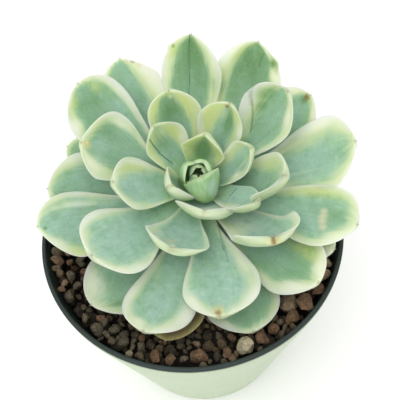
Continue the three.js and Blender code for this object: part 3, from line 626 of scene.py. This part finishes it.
def fill(name, points, quads, fans, marks=None, vectors=None, flat_shaded=False):
    """A mesh object from points in mm, four sided and three sided faces and per point attributes."""
    mesh = bpy.data.meshes.new(name)
    mesh.vertices.add(len(points))
    mesh.vertices.foreach_set("co", (points / 1000.0).astype(np.float32).ravel())
    loops = np.concatenate([np.ravel(quads), np.ravel(fans)]).astype(np.int32)
    sizes = np.concatenate([np.full(len(quads), 4), np.full(len(fans), 3)]).astype(np.int32)
    starts = np.concatenate([[0], np.cumsum(sizes)[:-1]]).astype(np.int32)
    mesh.loops.add(len(loops))
    mesh.loops.foreach_set("vertex_index", loops)
    mesh.polygons.add(len(sizes))
    mesh.polygons.foreach_set("loop_start", starts)
    mesh.polygons.foreach_set("use_smooth", np.full(len(sizes), not flat_shaded))
    mesh.update(calc_edges=True)
    mesh.validate()
    for key, values in (marks or {}).items():
        made = mesh.attributes.new(key, "FLOAT", "POINT")
        made.data.foreach_set("value", values.astype(np.float32))
    for key, values in (vectors or {}).items():
        made = mesh.attributes.new(key, "FLOAT_VECTOR", "POINT")
        made.data.foreach_set("vector", values.astype(np.float32).ravel())
    made = bpy.data.objects.new(name, mesh)
    bpy.context.scene.collection.objects.link(made)
    return made


def set_piece(piece, material, node):
    """Gives a piece its material and its body, and hides the model's part for the node it stands for."""
    piece.data.materials.append(material)
    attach(piece, "root")
    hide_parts(node)


def paint(red, green, blue):
    """A screen colour from 0 to 255 as the linear colour a shader takes."""
    c = np.array([red, green, blue]) / 255.0
    linear = np.where(c <= 0.04045, c / 12.92, ((c + 0.055) / 1.055) ** 2.4)
    return (*[float(x) for x in linear], 1.0)


class Finish:
    """One procedural material: its colour so far, and a small set of calls that add and link its nodes."""

    def __init__(self, name, tone=(0, 0, 0)):
        self.material = bpy.data.materials.new(name)
        self.material.use_nodes = True
        self.tree = self.material.node_tree
        self.shader = self.tree.nodes["Principled BSDF"]
        self.colour = paint(*tone)

    def put(self, socket, value):
        if isinstance(value, bpy.types.NodeSocket):
            self.tree.links.new(value, socket)
        else:
            socket.default_value = value

    def node(self, kind, values=None, **settings):
        made = self.tree.nodes.new(kind)
        for key, value in settings.items():
            setattr(made, key, value)
        for key, value in (values or {}).items():
            self.put(made.inputs[key], value)
        return made

    def attribute(self, name, output="Fac"):
        return self.node("ShaderNodeAttribute", attribute_name=name).outputs[output]

    def three(self, name):
        """The three values of a vector attribute."""
        return self.node("ShaderNodeSeparateXYZ", {"Vector": self.attribute(name, "Vector")}).outputs

    def place(self):
        return self.node("ShaderNodeTexCoord").outputs["Object"]

    def noise(self, place, scale, detail=3.0, rough=0.55):
        """Noise from 0 to 1. Three scales draw it out along their axes."""
        if isinstance(scale, tuple):
            place = self.node("ShaderNodeMapping", {"Vector": place, "Scale": scale}).outputs["Vector"]
            scale = 1.0
        values = {"Vector": place, "Scale": scale, "Detail": detail, "Roughness": rough}
        return self.node("ShaderNodeTexNoise", values).outputs["Fac"]

    def math(self, operation, a, b):
        return self.node("ShaderNodeMath", {0: a, 1: b}, operation=operation).outputs[0]

    def plus(self, a, b):
        return self.math("ADD", a, b)

    def times(self, first, *others):
        for other in others:
            first = self.math("MULTIPLY", first, other)
        return first

    def without(self, value):
        """One less the value."""
        return self.math("SUBTRACT", 1.0, value)

    def swing(self, value, width):
        """A value from 0 to 1 as a swing of this width about 0."""
        return self.times(self.math("SUBTRACT", value, 0.5), width)

    def ease(self, value, low, high, to_low=0.0, to_high=1.0):
        """value eased from to_low at low to to_high at high."""
        values = {"Value": value, "From Min": low, "From Max": high, "To Min": to_low, "To Max": to_high}
        return self.node("ShaderNodeMapRange", values, interpolation_type="SMOOTHSTEP").outputs["Result"]

    def coat(self, tone, *shares):
        """Lays a tone over the colour so far, by the product of its shares."""
        made = self.node("ShaderNodeMix", data_type="RGBA")
        self.put(made.inputs[0], self.times(*shares))
        self.put(made.inputs[6], self.colour)
        self.put(made.inputs[7], paint(*tone))
        self.colour = made.outputs[2]

    def ramp(self, value, *stops):
        """Starts the colour from a value and stops of place, red, green and blue."""
        made = self.node("ShaderNodeValToRGB", {"Fac": value})
        marks = made.color_ramp.elements
        while len(marks) < len(stops):
            marks.new(0.5)
        for mark, stop in zip(marks, stops):
            mark.position = stop[0]
        for mark, stop in zip(marks, stops):
            mark.color = paint(*stop[1:])
        self.colour = made.outputs["Color"]

    def bump(self, height, distance, strength=1.0, under=None):
        values = {"Height": height, "Distance": distance, "Strength": strength}
        if under is not None:
            values["Normal"] = under
        return self.node("ShaderNodeBump", values).outputs["Normal"]

    def surface(self, **values):
        """The finished material, with the shader's inputs named with _ for each space."""
        for key, value in {"Base Color": self.colour, **values}.items():
            self.put(self.shader.inputs[key.replace("_", " ")], value)
        return self.material


def leaf_skin():
    """Waxy variegated skin: the margin attribute runs from 0 at the edge to 1 where the pale band fades out.
    Streaks along the blade break up the band and the washes of deep, lime, cream and mint laid over it."""
    f = Finish("variegated_leaf")
    place = f.attribute("blade", "Vector")
    fan = f.attribute("fan", "Vector")
    along = f.attribute("along")
    yellow, powder, vivid = f.three("mood")
    streaks = f.noise(fan, (0.6, 0.045, 1.0), 3.0, 0.6)
    fine = f.noise(fan, (1.8, 0.08, 1.0), 2.0, 0.6)
    slow = f.noise(place, (0.16, 0.09, 1.0), 2.0, 0.5)
    grain = f.noise(place, 2.6, 3.0, 0.7)
    band = f.plus(f.plus(f.attribute("margin"), f.swing(streaks, 1.5)), f.swing(slow, 2.0))
    f.ramp(
        f.times(band, 0.4), (0.0, 231, 234, 216), (0.18, 222, 228, 202), (0.36, 201, 214, 184),
        (0.58, 164, 196, 162), (0.9, 144, 181, 153),
    )
    f.coat((196, 207, 144), f.ease(band, 1.7, 0.6), f.ease(band, -0.1, 0.7, 0.3, 1.0), yellow)
    f.coat((126, 166, 124), f.ease(along, 0.4, 0.85, 0.0, 0.3))
    f.coat((112, 154, 106), vivid, f.ease(band, 0.7, 1.7), f.ease(along, 0.4, 0.7), 0.85)
    patch = f.noise(place, (0.32, 0.2, 1.0), 4.0, 0.62)
    bloom = f.times(f.ease(patch, 0.36, 0.62), powder, f.ease(band, 0.4, 1.4))
    f.coat((162, 191, 181), bloom, 0.65)
    broken = f.plus(f.plus(0.45, f.times(streaks, 0.75)), f.times(fine, 0.35))
    for kind, tone, full, weight in (
        ("mint", (152, 186, 170), 0.95, 0.75), ("lime", (190, 202, 132), 0.95, 0.75),
        ("deep", (92, 136, 80), 1.15, 0.9), ("cream", (230, 232, 214), 1.1, 0.65),
    ):
        f.coat(tone, f.ease(f.times(f.attribute(kind), broken), 0.05, full, 0.0, weight))
    inner = f.ease(band, 0.8, 1.6)
    f.coat((104, 150, 112), f.ease(fine, 0.52, 0.75, 0.0, 0.17), inner)
    f.coat((206, 224, 206), f.ease(fine, 0.46, 0.25, 0.0, 0.12))
    blotch = f.noise(place, 0.42, 4.0, 0.6)
    f.coat((112, 156, 126), f.ease(blotch, 0.52, 0.66, 0.0, 0.36), inner)
    f.coat((186, 212, 200), f.ease(blotch, 0.47, 0.34, 0.0, 0.3), inner, powder)
    f.coat((206, 222, 208), f.ease(grain, 0.45, 0.7, 0.0, 0.1))
    # Painted light: a lighter green towards each leaf's foot, lifting the shade that falls deep in the
    # rosette.
    f.coat((150, 190, 128), f.ease(along, 0.45, 0.12, 0.0, 0.5))
    under = f.without(f.attribute("top"))
    f.coat((156, 186, 152), under, 0.45)
    f.coat((206, 214, 172), under, f.ease(along, 0.6, 0.95, 0.0, 0.35))
    # A painted highlight: a thin pale line right at the rounded edge of the margin, with a faint pink blush
    # of the skin itself.
    edge = f.without(f.ease(f.attribute("edge"), 0.05, 0.45))
    blush = f.ease(f.noise(place, (0.3, 0.12, 1.0), 2.0), 0.45, 0.65)
    f.coat((226, 230, 208), edge, 0.15)
    f.coat((226, 196, 176), edge, blush, 0.12)
    ragged = f.swing(grain, 1.4)
    for kind, tone, weight in (
        ("stain", (206, 188, 122), 0.5), ("green", (78, 122, 62), 0.6),
        ("pale", (226, 212, 182), 0.55), ("brown", (128, 104, 60), 0.8),
    ):
        f.coat(tone, f.ease(f.plus(f.attribute(kind), ragged), 1.3, 0.2, 0.0, weight))
    # Painted shade: dark green lines along the creases, darkest on the line.
    for line in f.three("crease_shade"):
        f.coat((62, 92, 56), f.ease(line, 1.3, 0.3, 0.0, 0.85))
    f.coat((132, 108, 72), f.attribute("tip"), 0.75)
    height = f.plus(f.times(fine, 0.5), f.times(grain, 0.25))
    return f.surface(
        Roughness=f.ease(bloom, 0.0, 0.8, 0.42, 0.62), Normal=f.bump(height, 0.00025, 0.5),
        Subsurface_Weight=0.7, Subsurface_Radius=(1.0, 1.0, 0.65), Subsurface_Scale=0.005, IOR=1.4,
        Specular_IOR_Level=0.4, Sheen_Weight=0.12, Sheen_Roughness=0.6,
    )


def young_skin():
    """Tender skin of the closed bud: light green with a paler rim and a powdery bloom in soft patches."""
    f = Finish("young_leaf", (124, 164, 106))
    place = f.attribute("blade", "Vector")
    streaks = f.noise(place, (0.8, 0.1, 1.0), 3.0, 0.6)
    patch = f.noise(place, (0.4, 0.25, 1.0), 4.0, 0.6)
    grain = f.noise(place, 2.6, 3.0, 0.7)
    f.coat((142, 180, 126), f.ease(streaks, 0.35, 0.65))
    f.coat((166, 196, 168), f.ease(patch, 0.42, 0.66, 0.0, 0.55))
    f.coat((106, 146, 92), f.ease(f.attribute("along"), 0.75, 0.1, 0.0, 0.5))
    f.coat((170, 198, 182), f.ease(f.attribute("mint"), 0.1, 1.0, 0.0, 0.7))
    f.coat((178, 204, 126), f.ease(f.attribute("lime"), 0.1, 1.0, 0.0, 0.7))
    f.coat((196, 216, 170), f.ease(f.attribute("edge"), 0.7, 0.05, 0.0, 0.65))
    f.coat((120, 104, 76), f.attribute("tip"), 0.5)
    height = f.plus(f.times(streaks, 0.5), f.times(grain, 0.3))
    return f.surface(
        Roughness=f.ease(patch, 0.3, 0.7, 0.45, 0.6), Normal=f.bump(height, 0.0002, 0.5),
        Subsurface_Weight=0.2, Subsurface_Radius=(1.0, 1.0, 0.5), Subsurface_Scale=0.0012,
    )


def dry_leaf_skin():
    """Withered skin: papery brown with ochre margins and fine length-wise wrinkles."""
    f = Finish("dry_leaf")
    place = f.attribute("blade", "Vector")
    fibre = f.noise(place, (1.4, 0.1, 1.0), 5.0, 0.65)
    slow = f.noise(place, (0.2, 0.2, 1.0), 3.0)
    f.ramp(
        f.plus(f.times(f.attribute("margin"), 0.45), f.times(slow, 0.3)),
        (0.1, 196, 188, 134), (0.3, 150, 142, 90), (0.5, 106, 96, 60), (0.9, 88, 76, 52),
    )
    f.coat((70, 56, 38), f.ease(fibre, 0.4, 0.7, 0.0, 0.5))
    return f.surface(Roughness=0.8, Normal=f.bump(fibre, 0.0006, 0.8))


def stem_skin():
    """Woody stem: olive brown with leaf scars and fine bark, and green where the young leaves start."""
    f = Finish("stem")
    rings = f.noise(f.place(), (120, 120, 420), 4.0)
    f.ramp(rings, (0.3, 96, 98, 60), (0.55, 138, 140, 92), (0.75, 112, 92, 62))
    f.coat((100, 138, 88), f.ease(f.attribute("height"), 0.55, 0.75))
    return f.surface(Roughness=0.75, Normal=f.bump(rings, 0.0004, 0.7))


def granule_skin():
    """Baked clay and pumice: each granule's own tone, darkened by painted shade where it lies deep, mottled,
    with a rough pitted surface.
    """
    f = Finish("granules")
    place = f.place()
    pick, brightness_and_depth_shade, moist = f.three("earth")
    mottle = f.noise(place, 800, 4.0, 0.65)
    pits = f.noise(place, 2400, 4.0, 0.75)
    f.ramp(
        pick, (0.0, 84, 80, 66), (0.25, 106, 98, 78), (0.5, 118, 106, 82), (0.66, 128, 98, 70),
        (0.78, 150, 116, 90), (0.88, 178, 154, 124), (1.0, 212, 206, 172),
    )
    f.coat((66, 58, 44), f.ease(mottle, 0.42, 0.7, 0.0, 0.5))
    f.coat((196, 180, 148), f.ease(pits, 0.5, 0.72, 0.0, 0.45))
    f.coat((46, 38, 26), f.ease(pits, 0.48, 0.3, 0.0, 0.55))
    # Darker where the brightness is low: the granule's own tone, and painted shade on the granules that lie
    # deeper.
    f.coat((24, 18, 12), f.without(brightness_and_depth_shade), 0.85)
    return f.surface(
        Roughness=f.ease(moist, 0.0, 1.0, 0.95, 0.7), Specular_IOR_Level=0.3,
        Normal=f.bump(pits, 0.0004, 0.9, f.bump(mottle, 0.0012, 0.9)),
    )


def earth_skin():
    """Dark fines between the granules."""
    f = Finish("fines")
    crumbs = f.noise(f.place(), 900, 5.0, 0.7)
    f.ramp(crumbs, (0.3, 16, 12, 8), (0.6, 32, 25, 18), (0.8, 56, 44, 32))
    return f.surface(Roughness=0.95, Normal=f.bump(crumbs, 0.001))


def liner_plastic():
    """Thin moulded nursery plastic: dark slate green, satin, with faint scuffs and dust."""
    f = Finish("liner_plastic", (40, 51, 48))
    place = f.place()
    scuffs = f.noise(place, (60, 60, 900), 5.0, 0.6)
    dust = f.noise(place, 260, 5.0, 0.7)
    f.coat((70, 77, 68), f.ease(dust, 0.5, 0.75, 0.0, 0.3))
    f.coat((54, 70, 66), f.ease(scuffs, 0.55, 0.8, 0.0, 0.25))
    rough = f.ease(dust, 0.35, 0.7, 0.42, 0.6)
    return f.surface(Roughness=rough, Normal=f.bump(scuffs, 0.0001, 0.4), Specular_IOR_Level=0.3)


def cover_plastic():
    """Pale celadon moulded plastic: satin, slightly milky, with faint flow marks."""
    f = Finish("cover_plastic", (186, 202, 170))
    place = f.place()
    flow = f.noise(place, (30, 30, 90), 4.0)
    grain = f.noise(place, 1500, 2.0)
    f.coat((178, 196, 160), f.ease(flow, 0.3, 0.7))
    return f.surface(
        Roughness=f.ease(grain, 0.3, 0.7, 0.34, 0.46), Normal=f.bump(grain, 0.00006, 0.5),
        Subsurface_Weight=0.1, Subsurface_Radius=(1.0, 1.0, 0.8), Subsurface_Scale=0.002,
    )


def rounded(profile, radius, steps=5):
    """A closed profile with each corner turned into a short arc: points of a quadratic through the corner."""
    before, after = np.roll(profile, 1, 0), np.roll(profile, -1, 0)
    to_before, to_after = before - profile, after - profile
    lengths_before = np.linalg.norm(to_before, axis=1)[:, None]
    lengths_after = np.linalg.norm(to_after, axis=1)[:, None]
    cut = np.minimum(radius[:, None], 0.45 * np.minimum(lengths_after, lengths_before))
    a = profile + to_before / lengths_before * cut
    b = profile + to_after / lengths_after * cut
    t = np.linspace(0, 1, steps)[None, :, None]
    arcs = (1 - t) ** 2 * a[:, None] + 2 * t * (1 - t) * profile[:, None] + t * t * b[:, None]
    return arcs.reshape(-1, 2)


def turned(profile, around):
    """A surface of revolution from an open profile that starts and ends on the axis: the ring at each profile
    point is radius times (cos a, sin a), and the two ends on the axis are single pole points."""
    p = np.array(profile, float)
    low, high = p[0, 1], p[-1, 1]
    ring = p[1:-1]
    a = np.linspace(0, 2 * math.pi, around, endpoint=False)
    grid = np.stack([ring[:, :1] * np.cos(a), ring[:, :1] * np.sin(a), ring[:, 1:2] + 0 * a], -1)
    points = np.concatenate([grid.reshape(-1, 3), [[0, 0, low], [0, 0, high]]])
    quads, fans = closed_faces(len(ring), around, turned_over=True)
    return points, quads, fans


def make_leaves():
    """Every leaf of the rosette, and the bud of six small leaves."""
    fresh = leaf_skin()
    for name, row in LEAF_ROWS.items():
        piece = fill(f"{name}_blade", *blade(name, row))
        if name == "dry_leaf":
            set_piece(piece, dry_leaf_skin(), name)
        else:
            set_piece(piece, fresh, name)
    parts = []
    for name, row in BUD_ROWS.items():
        stout = 1.0 if name == "bud_hood" else 0.5
        parts.append(blade(name, row, BUD_SHIFT, stations=56, top_columns=40, under_columns=18, stout=stout))
    bud = fill("bud_leaves", *joined(parts))
    set_piece(bud, young_skin(), "bud")


def make_stem():
    """The leaning stem: rings along the crown axis whose radius dips at each leaf scar."""
    rings, around = 70, 64
    height = np.linspace(STEM_FROM, STEM_TO, rings)
    a = np.linspace(0, 2 * math.pi, around, endpoint=False)
    h, turn = np.meshgrid(height, a, indexing="ij")
    scars = np.sin(h * 2.1 + 2 * np.sin(turn * 2)) * 0.12 + 0.1 * np.sin(turn * 5 + h * 0.7)
    radius = STEM_RADIUS + scars
    grid = np.stack([radius * np.cos(turn), radius * np.sin(turn), h], -1)
    poles = np.array([[0, 0, STEM_FROM], [0, 0, STEM_TO]])
    points = to_frame(np.concatenate([grid.reshape(-1, 3), poles]))
    quads, fans = closed_faces(rings, around, turned_over=True)
    share = (h - STEM_FROM) / (STEM_TO - STEM_FROM)
    marks = {"height": np.concatenate([share.ravel(), [0, 1]])}
    piece = fill("stem_bark", points, quads, fans, marks)
    set_piece(piece, stem_skin(), "stem")


def liner_inside(z):
    """Inner radius of the liner's wall at a height: a straight line from its floor to its neck."""
    return FLOOR_RADIUS + (NECK_RADIUS - FLOOR_RADIUS) * (z - LINER_FLOOR) / (LINER_NECK - LINER_FLOOR)


def spread(random, count, room, small, large, rounds=90):
    """Places for granules on a disc: random ones, pushed apart pair by pair until they lie side by side."""
    size = random.uniform(0, 1, count) ** 1.5 * (large - small) + small
    r = room * np.sqrt(random.uniform(0, 1, count))
    a = random.uniform(0, 2 * math.pi, count)
    p = np.stack([r * np.cos(a), r * np.sin(a)], 1)
    for _ in range(rounds):
        d = p[:, None] - p[None]
        far = np.hypot(d[..., 0], d[..., 1]) + 1e-6
        want = (size[:, None] + size[None]) * 0.97
        push = np.clip(want - far, 0, None) * 0.32
        np.fill_diagonal(push, 0)
        p = p + (d / far[..., None] * push[..., None]).sum(1)
        out = np.hypot(p[:, 0], p[:, 1])
        limit = room - size * 0.75
        p = p * np.where(out > limit, limit / np.maximum(out, 1e-6), 1.0)[:, None]
    return p, size


def ball():
    """The 42 directions and 80 faces of a once divided icosahedron."""
    g = (1 + 5 ** 0.5) / 2
    corners = [(-1, g, 0), (1, g, 0), (-1, -g, 0), (1, -g, 0), (0, -1, g), (0, 1, g),
               (0, -1, -g), (0, 1, -g), (g, 0, -1), (g, 0, 1), (-g, 0, -1), (-g, 0, 1)]
    faces = [(0, 11, 5), (0, 5, 1), (0, 1, 7), (0, 7, 10), (0, 10, 11), (1, 5, 9), (5, 11, 4),
             (11, 10, 2), (10, 7, 6), (7, 1, 8), (3, 9, 4), (3, 4, 2), (3, 2, 6), (3, 6, 8), (3, 8, 9),
             (4, 9, 5), (2, 4, 11), (6, 2, 10), (8, 6, 7), (9, 8, 1)]
    points = [np.array(c, float) for c in corners]
    middle = {}

    def between(i, j):
        key = (min(i, j), max(i, j))
        if key not in middle:
            middle[key] = len(points)
            points.append((points[i] + points[j]) / 2)
        return middle[key]

    split = []
    for i, j, k in faces:
        a, b, c = between(i, j), between(j, k), between(k, i)
        split += [(i, a, c), (j, b, a), (k, c, b), (a, b, c)]
    return unit(np.array(points)), np.array(split)


def stones(random, centres, sizes):
    """Lumps of baked clay. In each direction a lump reaches to the nearest of nine random planes, softly:
    (sum over planes of (direction . normal / distance)^24)^(-1/24), roughened point by point; then it is
    stretched, turned and moved."""
    directions, faces = ball()
    count = len(sizes)
    normals = unit(random.normal(size=(count, 9, 3)))
    distance = random.uniform(0.58, 0.95, (count, 9))
    towards = np.clip(np.einsum("vk,nfk->nvf", directions, normals), 0.0, None) / distance[:, None]
    reach = np.clip((towards ** 24).sum(2), 0.1, None) ** (-1 / 24)
    reach = reach * random.uniform(0.88, 1.06, reach.shape)
    stretch = random.uniform(0.7, 1.2, (count, 3))
    lumps = directions[None] * reach[..., None] * stretch[:, None] * sizes[:, None, None]
    w, x, y, z = unit(random.normal(size=(count, 4))).T
    turn = np.stack([
        1 - 2 * (y * y + z * z), 2 * (x * y - w * z), 2 * (x * z + w * y),
        2 * (x * y + w * z), 1 - 2 * (x * x + z * z), 2 * (y * z - w * x),
        2 * (x * z - w * y), 2 * (y * z + w * x), 1 - 2 * (x * x + y * y),
    ], 1).reshape(-1, 3, 3)
    lumps = np.einsum("nij,nvj->nvi", turn, lumps) + centres[:, None]
    n = len(directions)
    return lumps.reshape(-1, 3), (faces[None] + n * np.arange(count)[:, None, None]).reshape(-1, 3), n


def soil_level(x, y):
    """Height of the soil: it rises towards the wall and has a hollow in front, shaped like a bell curve."""
    bank = smooth(BANK_FROM, BANK_TO, np.hypot(x, y)) * BANK_HEIGHT
    across = (x - HOLLOW_CENTRE[0]) ** 2 / HOLLOW_SPREAD[0]
    along = (y - HOLLOW_CENTRE[1]) ** 2 / HOLLOW_SPREAD[1]
    return SOIL_TOP + bank - HOLLOW_DEPTH * np.exp(-across - along)


def make_granules():
    """Granules in two layers, none inside the stem or a larger stone, and the larger stones on top."""
    sunk, lower_layer, stem_room, well_covered, stone_sunk = 0.6, 3.2, 4.2, 2.6, 0.2
    random = np.random.default_rng(7)
    big = np.array(STONES)
    top, top_size = spread(random, count=820, room=42.9, small=0.8, large=2.0)
    low, low_size = spread(random, count=500, room=42.4, small=0.9, large=2.0)
    top_z = soil_level(*top.T) - sunk * top_size + random.uniform(-1.0, 0.7, len(top_size))
    low_z = soil_level(*low.T) - lower_layer + random.uniform(-0.6, 0.3, len(low_size))
    centres = np.concatenate([np.c_[top, top_z], np.c_[low, low_z]])
    sizes = np.concatenate([top_size, low_size])
    stem_place = CROWN[:2] + AXIS[:2] / AXIS[2] * (SOIL_TOP - POT_HEIGHT)
    keep = np.hypot(*(centres[:, :2] - stem_place).T) > stem_room + sizes * 0.8
    apart = np.hypot(centres[:, None, 0] - big[:, 0], centres[:, None, 1] - big[:, 1])
    depth = soil_level(*centres[:, :2].T) - centres[:, 2]
    keep &= (apart > 0.75 * (big[:, 2] + sizes[:, None])).all(1) | (depth > well_covered)
    centres, sizes, depth = centres[keep], sizes[keep], depth[keep]
    pick = np.clip(random.beta(1.5, 2.2, len(sizes)), 0, 0.92)
    # Each granule's brightness: a random tone of its own, lowered by painted shade the deeper it lies below
    # the soil's level.
    brightness_and_depth_shade = np.clip(random.uniform(0.45, 0.95, len(sizes)) - 0.22 * (depth - 1.0).clip(0), 0.05, 1)
    centres = np.concatenate([centres, np.c_[big[:, :2], soil_level(*big[:, :2].T) - stone_sunk * big[:, 2]]])
    sizes = np.concatenate([sizes, big[:, 2]])
    room = liner_inside(centres[:, 2]) - 0.92 * sizes
    centres[:, :2] *= np.minimum(1, room / np.hypot(centres[:, 0], centres[:, 1]))[:, None]
    moist = random.uniform(0, 1, len(sizes))
    tone = np.stack([np.append(pick, big[:, 3]), np.append(brightness_and_depth_shade, big[:, 4]), moist], 1)
    points, faces, each = stones(random, centres, sizes)
    vectors = {"earth": np.repeat(tone, each, 0)}
    piece = fill("soil_granules", points, np.zeros((0, 4), int), faces, None, vectors, flat_shaded=True)
    set_piece(piece, granule_skin(), "soil")


def make_fines():
    """A body of dark fines that fills the liner below the granules, with a gently rippled top."""
    bottom, top, clear = 13.3, 66.2, 0.15
    profile = [(r, bottom) for r in (0, 10, 20, 29.7)]
    profile += [(liner_inside(z) - clear, z) for z in (20, 30, 40, 50, 60, 66.0)]
    profile += [(r, top + 0.3 * math.sin(r)) for r in (41, 34, 28, 22, 16, 10, 5, 0)]
    piece = fill("soil_fines", *turned(profile, POT_SIDES // 2))
    set_piece(piece, earth_skin(), "soil")


def make_pot(node, flat, corners, material):
    """A pot turned from its corners of radius, height and rounding. Its bottom is flat, from the axis to the
    first corner below and from the last one back to the axis above."""
    low, high = corners[0][1], corners[-1][1]
    path = np.array([(flat, low, 0.1), *corners, (flat, high, 0.1)])
    profile = [(0, low), *rounded(path[:, :2], path[:, 2]), (0, high)]
    piece = fill(f"{node}_shell", *turned(profile, POT_SIDES))
    set_piece(piece, material, node)


def make_pots():
    """The cover pot, and the liner that hangs in it by its lip."""
    h = POT_HEIGHT
    rim = LIP_RADIUS
    make_pot("cover_pot", flat=20, corners=[
        (29.6, 0, 1.0), (30.8, 1.2, 0.8), (rim, h - 2.4, 0.4), (rim, h - 1.35, 0.15),
        (rim - 0.5, h - 1.35, 0.15), (rim - 0.5, h - 3, 0.2), (29.4, 3, 1.5),
    ], material=cover_plastic())
    make_pot("liner_pot", flat=24, corners=[
        (30.5, LINER_FOOT, 0.8), (rim - 0.7, LINER_NECK, 0.3), (rim - 0.7, h - 1.2, 0.1), (rim, h - 1.2, 0.2),
        (rim, h - 0.3, 0.3), (rim - 0.3, h, 0.3), (rim - 1, h, 0.3), (NECK_RADIUS, h - 0.3, 0.3),
        (NECK_RADIUS, LINER_NECK, 0.3), (FLOOR_RADIUS, LINER_FLOOR, 0.5),
    ], material=liner_plastic())


def make_stage():
    """A pale floor, soft light from the room, and one large soft lamp above and a little in front."""
    bpy.ops.mesh.primitive_plane_add(size=6, location=(0, 0, -0.0002))
    floor = bpy.context.object
    floor.name = "floor"
    floor.data.materials.append(Finish("floor", (252, 252, 252)).surface(Roughness=0.9))
    world = bpy.data.worlds.new("studio")
    bpy.context.scene.world = world
    world.use_nodes = True
    background = world.node_tree.nodes["Background"]
    background.inputs["Color"].default_value = (1.0, 1.0, 1.0, 1.0)
    background.inputs["Strength"].default_value = 0.82
    lamp = bpy.data.lights.new("window", "AREA")
    lamp.shape = "DISK"
    lamp.size = 0.8
    lamp.energy = 4.4
    lamp.color = (1.0, 0.995, 0.985)
    made = bpy.data.objects.new("window", lamp)
    bpy.context.scene.collection.objects.link(made)
    made.location = (-0.15, -0.25, 0.88)
    aimed_at = Vector((0, 0, 0.08))
    made.rotation_euler = (made.location - aimed_at).to_track_quat("Z", "Y").to_euler()


def make_camera():
    """The camera looks down at 55 degrees from the front, turned by its roll. The rim's centre falls at a
    known place in a square image, which gives the camera's place from its focal length and distance."""
    image_width = 400
    sensor_width = 36
    elevation = math.radians(55)
    roll = math.radians(-5.7)
    focal = 560.0
    distance = 168.2
    centre_x, centre_y = 191.0, 222.4
    back = np.array([0.0, -math.cos(elevation), math.sin(elevation)])
    right = np.array([1.0, 0.0, 0.0])
    up = np.cross(back, right)
    right_turned = math.cos(roll) * right + math.sin(roll) * up
    up_turned = -math.sin(roll) * right + math.cos(roll) * up
    x = (centre_x - image_width / 2) / focal * distance
    y = -(centre_y - image_width / 2) / focal * distance
    place = back * distance - x * right_turned - y * up_turned + np.array([0, 0, POT_HEIGHT])
    data = bpy.data.cameras.new("camera")
    data.sensor_width = sensor_width
    data.lens = sensor_width * focal / image_width
    data.clip_start = 0.005
    data.clip_end = 20
    camera = bpy.data.objects.new("camera", data)
    bpy.context.scene.collection.objects.link(camera)
    turn = np.eye(4)
    turn[:3] = np.stack([right_turned, up_turned, back, place / 1000.0], 1)
    camera.matrix_world = Matrix(turn.tolist())
    bpy.context.scene.camera = camera


make_camera()
make_stage()
make_leaves()
make_stem()
make_granules()
make_fines()
make_pots()
bpy.context.scene.view_settings.view_transform = "Standard"
bpy.context.view_layer.update()
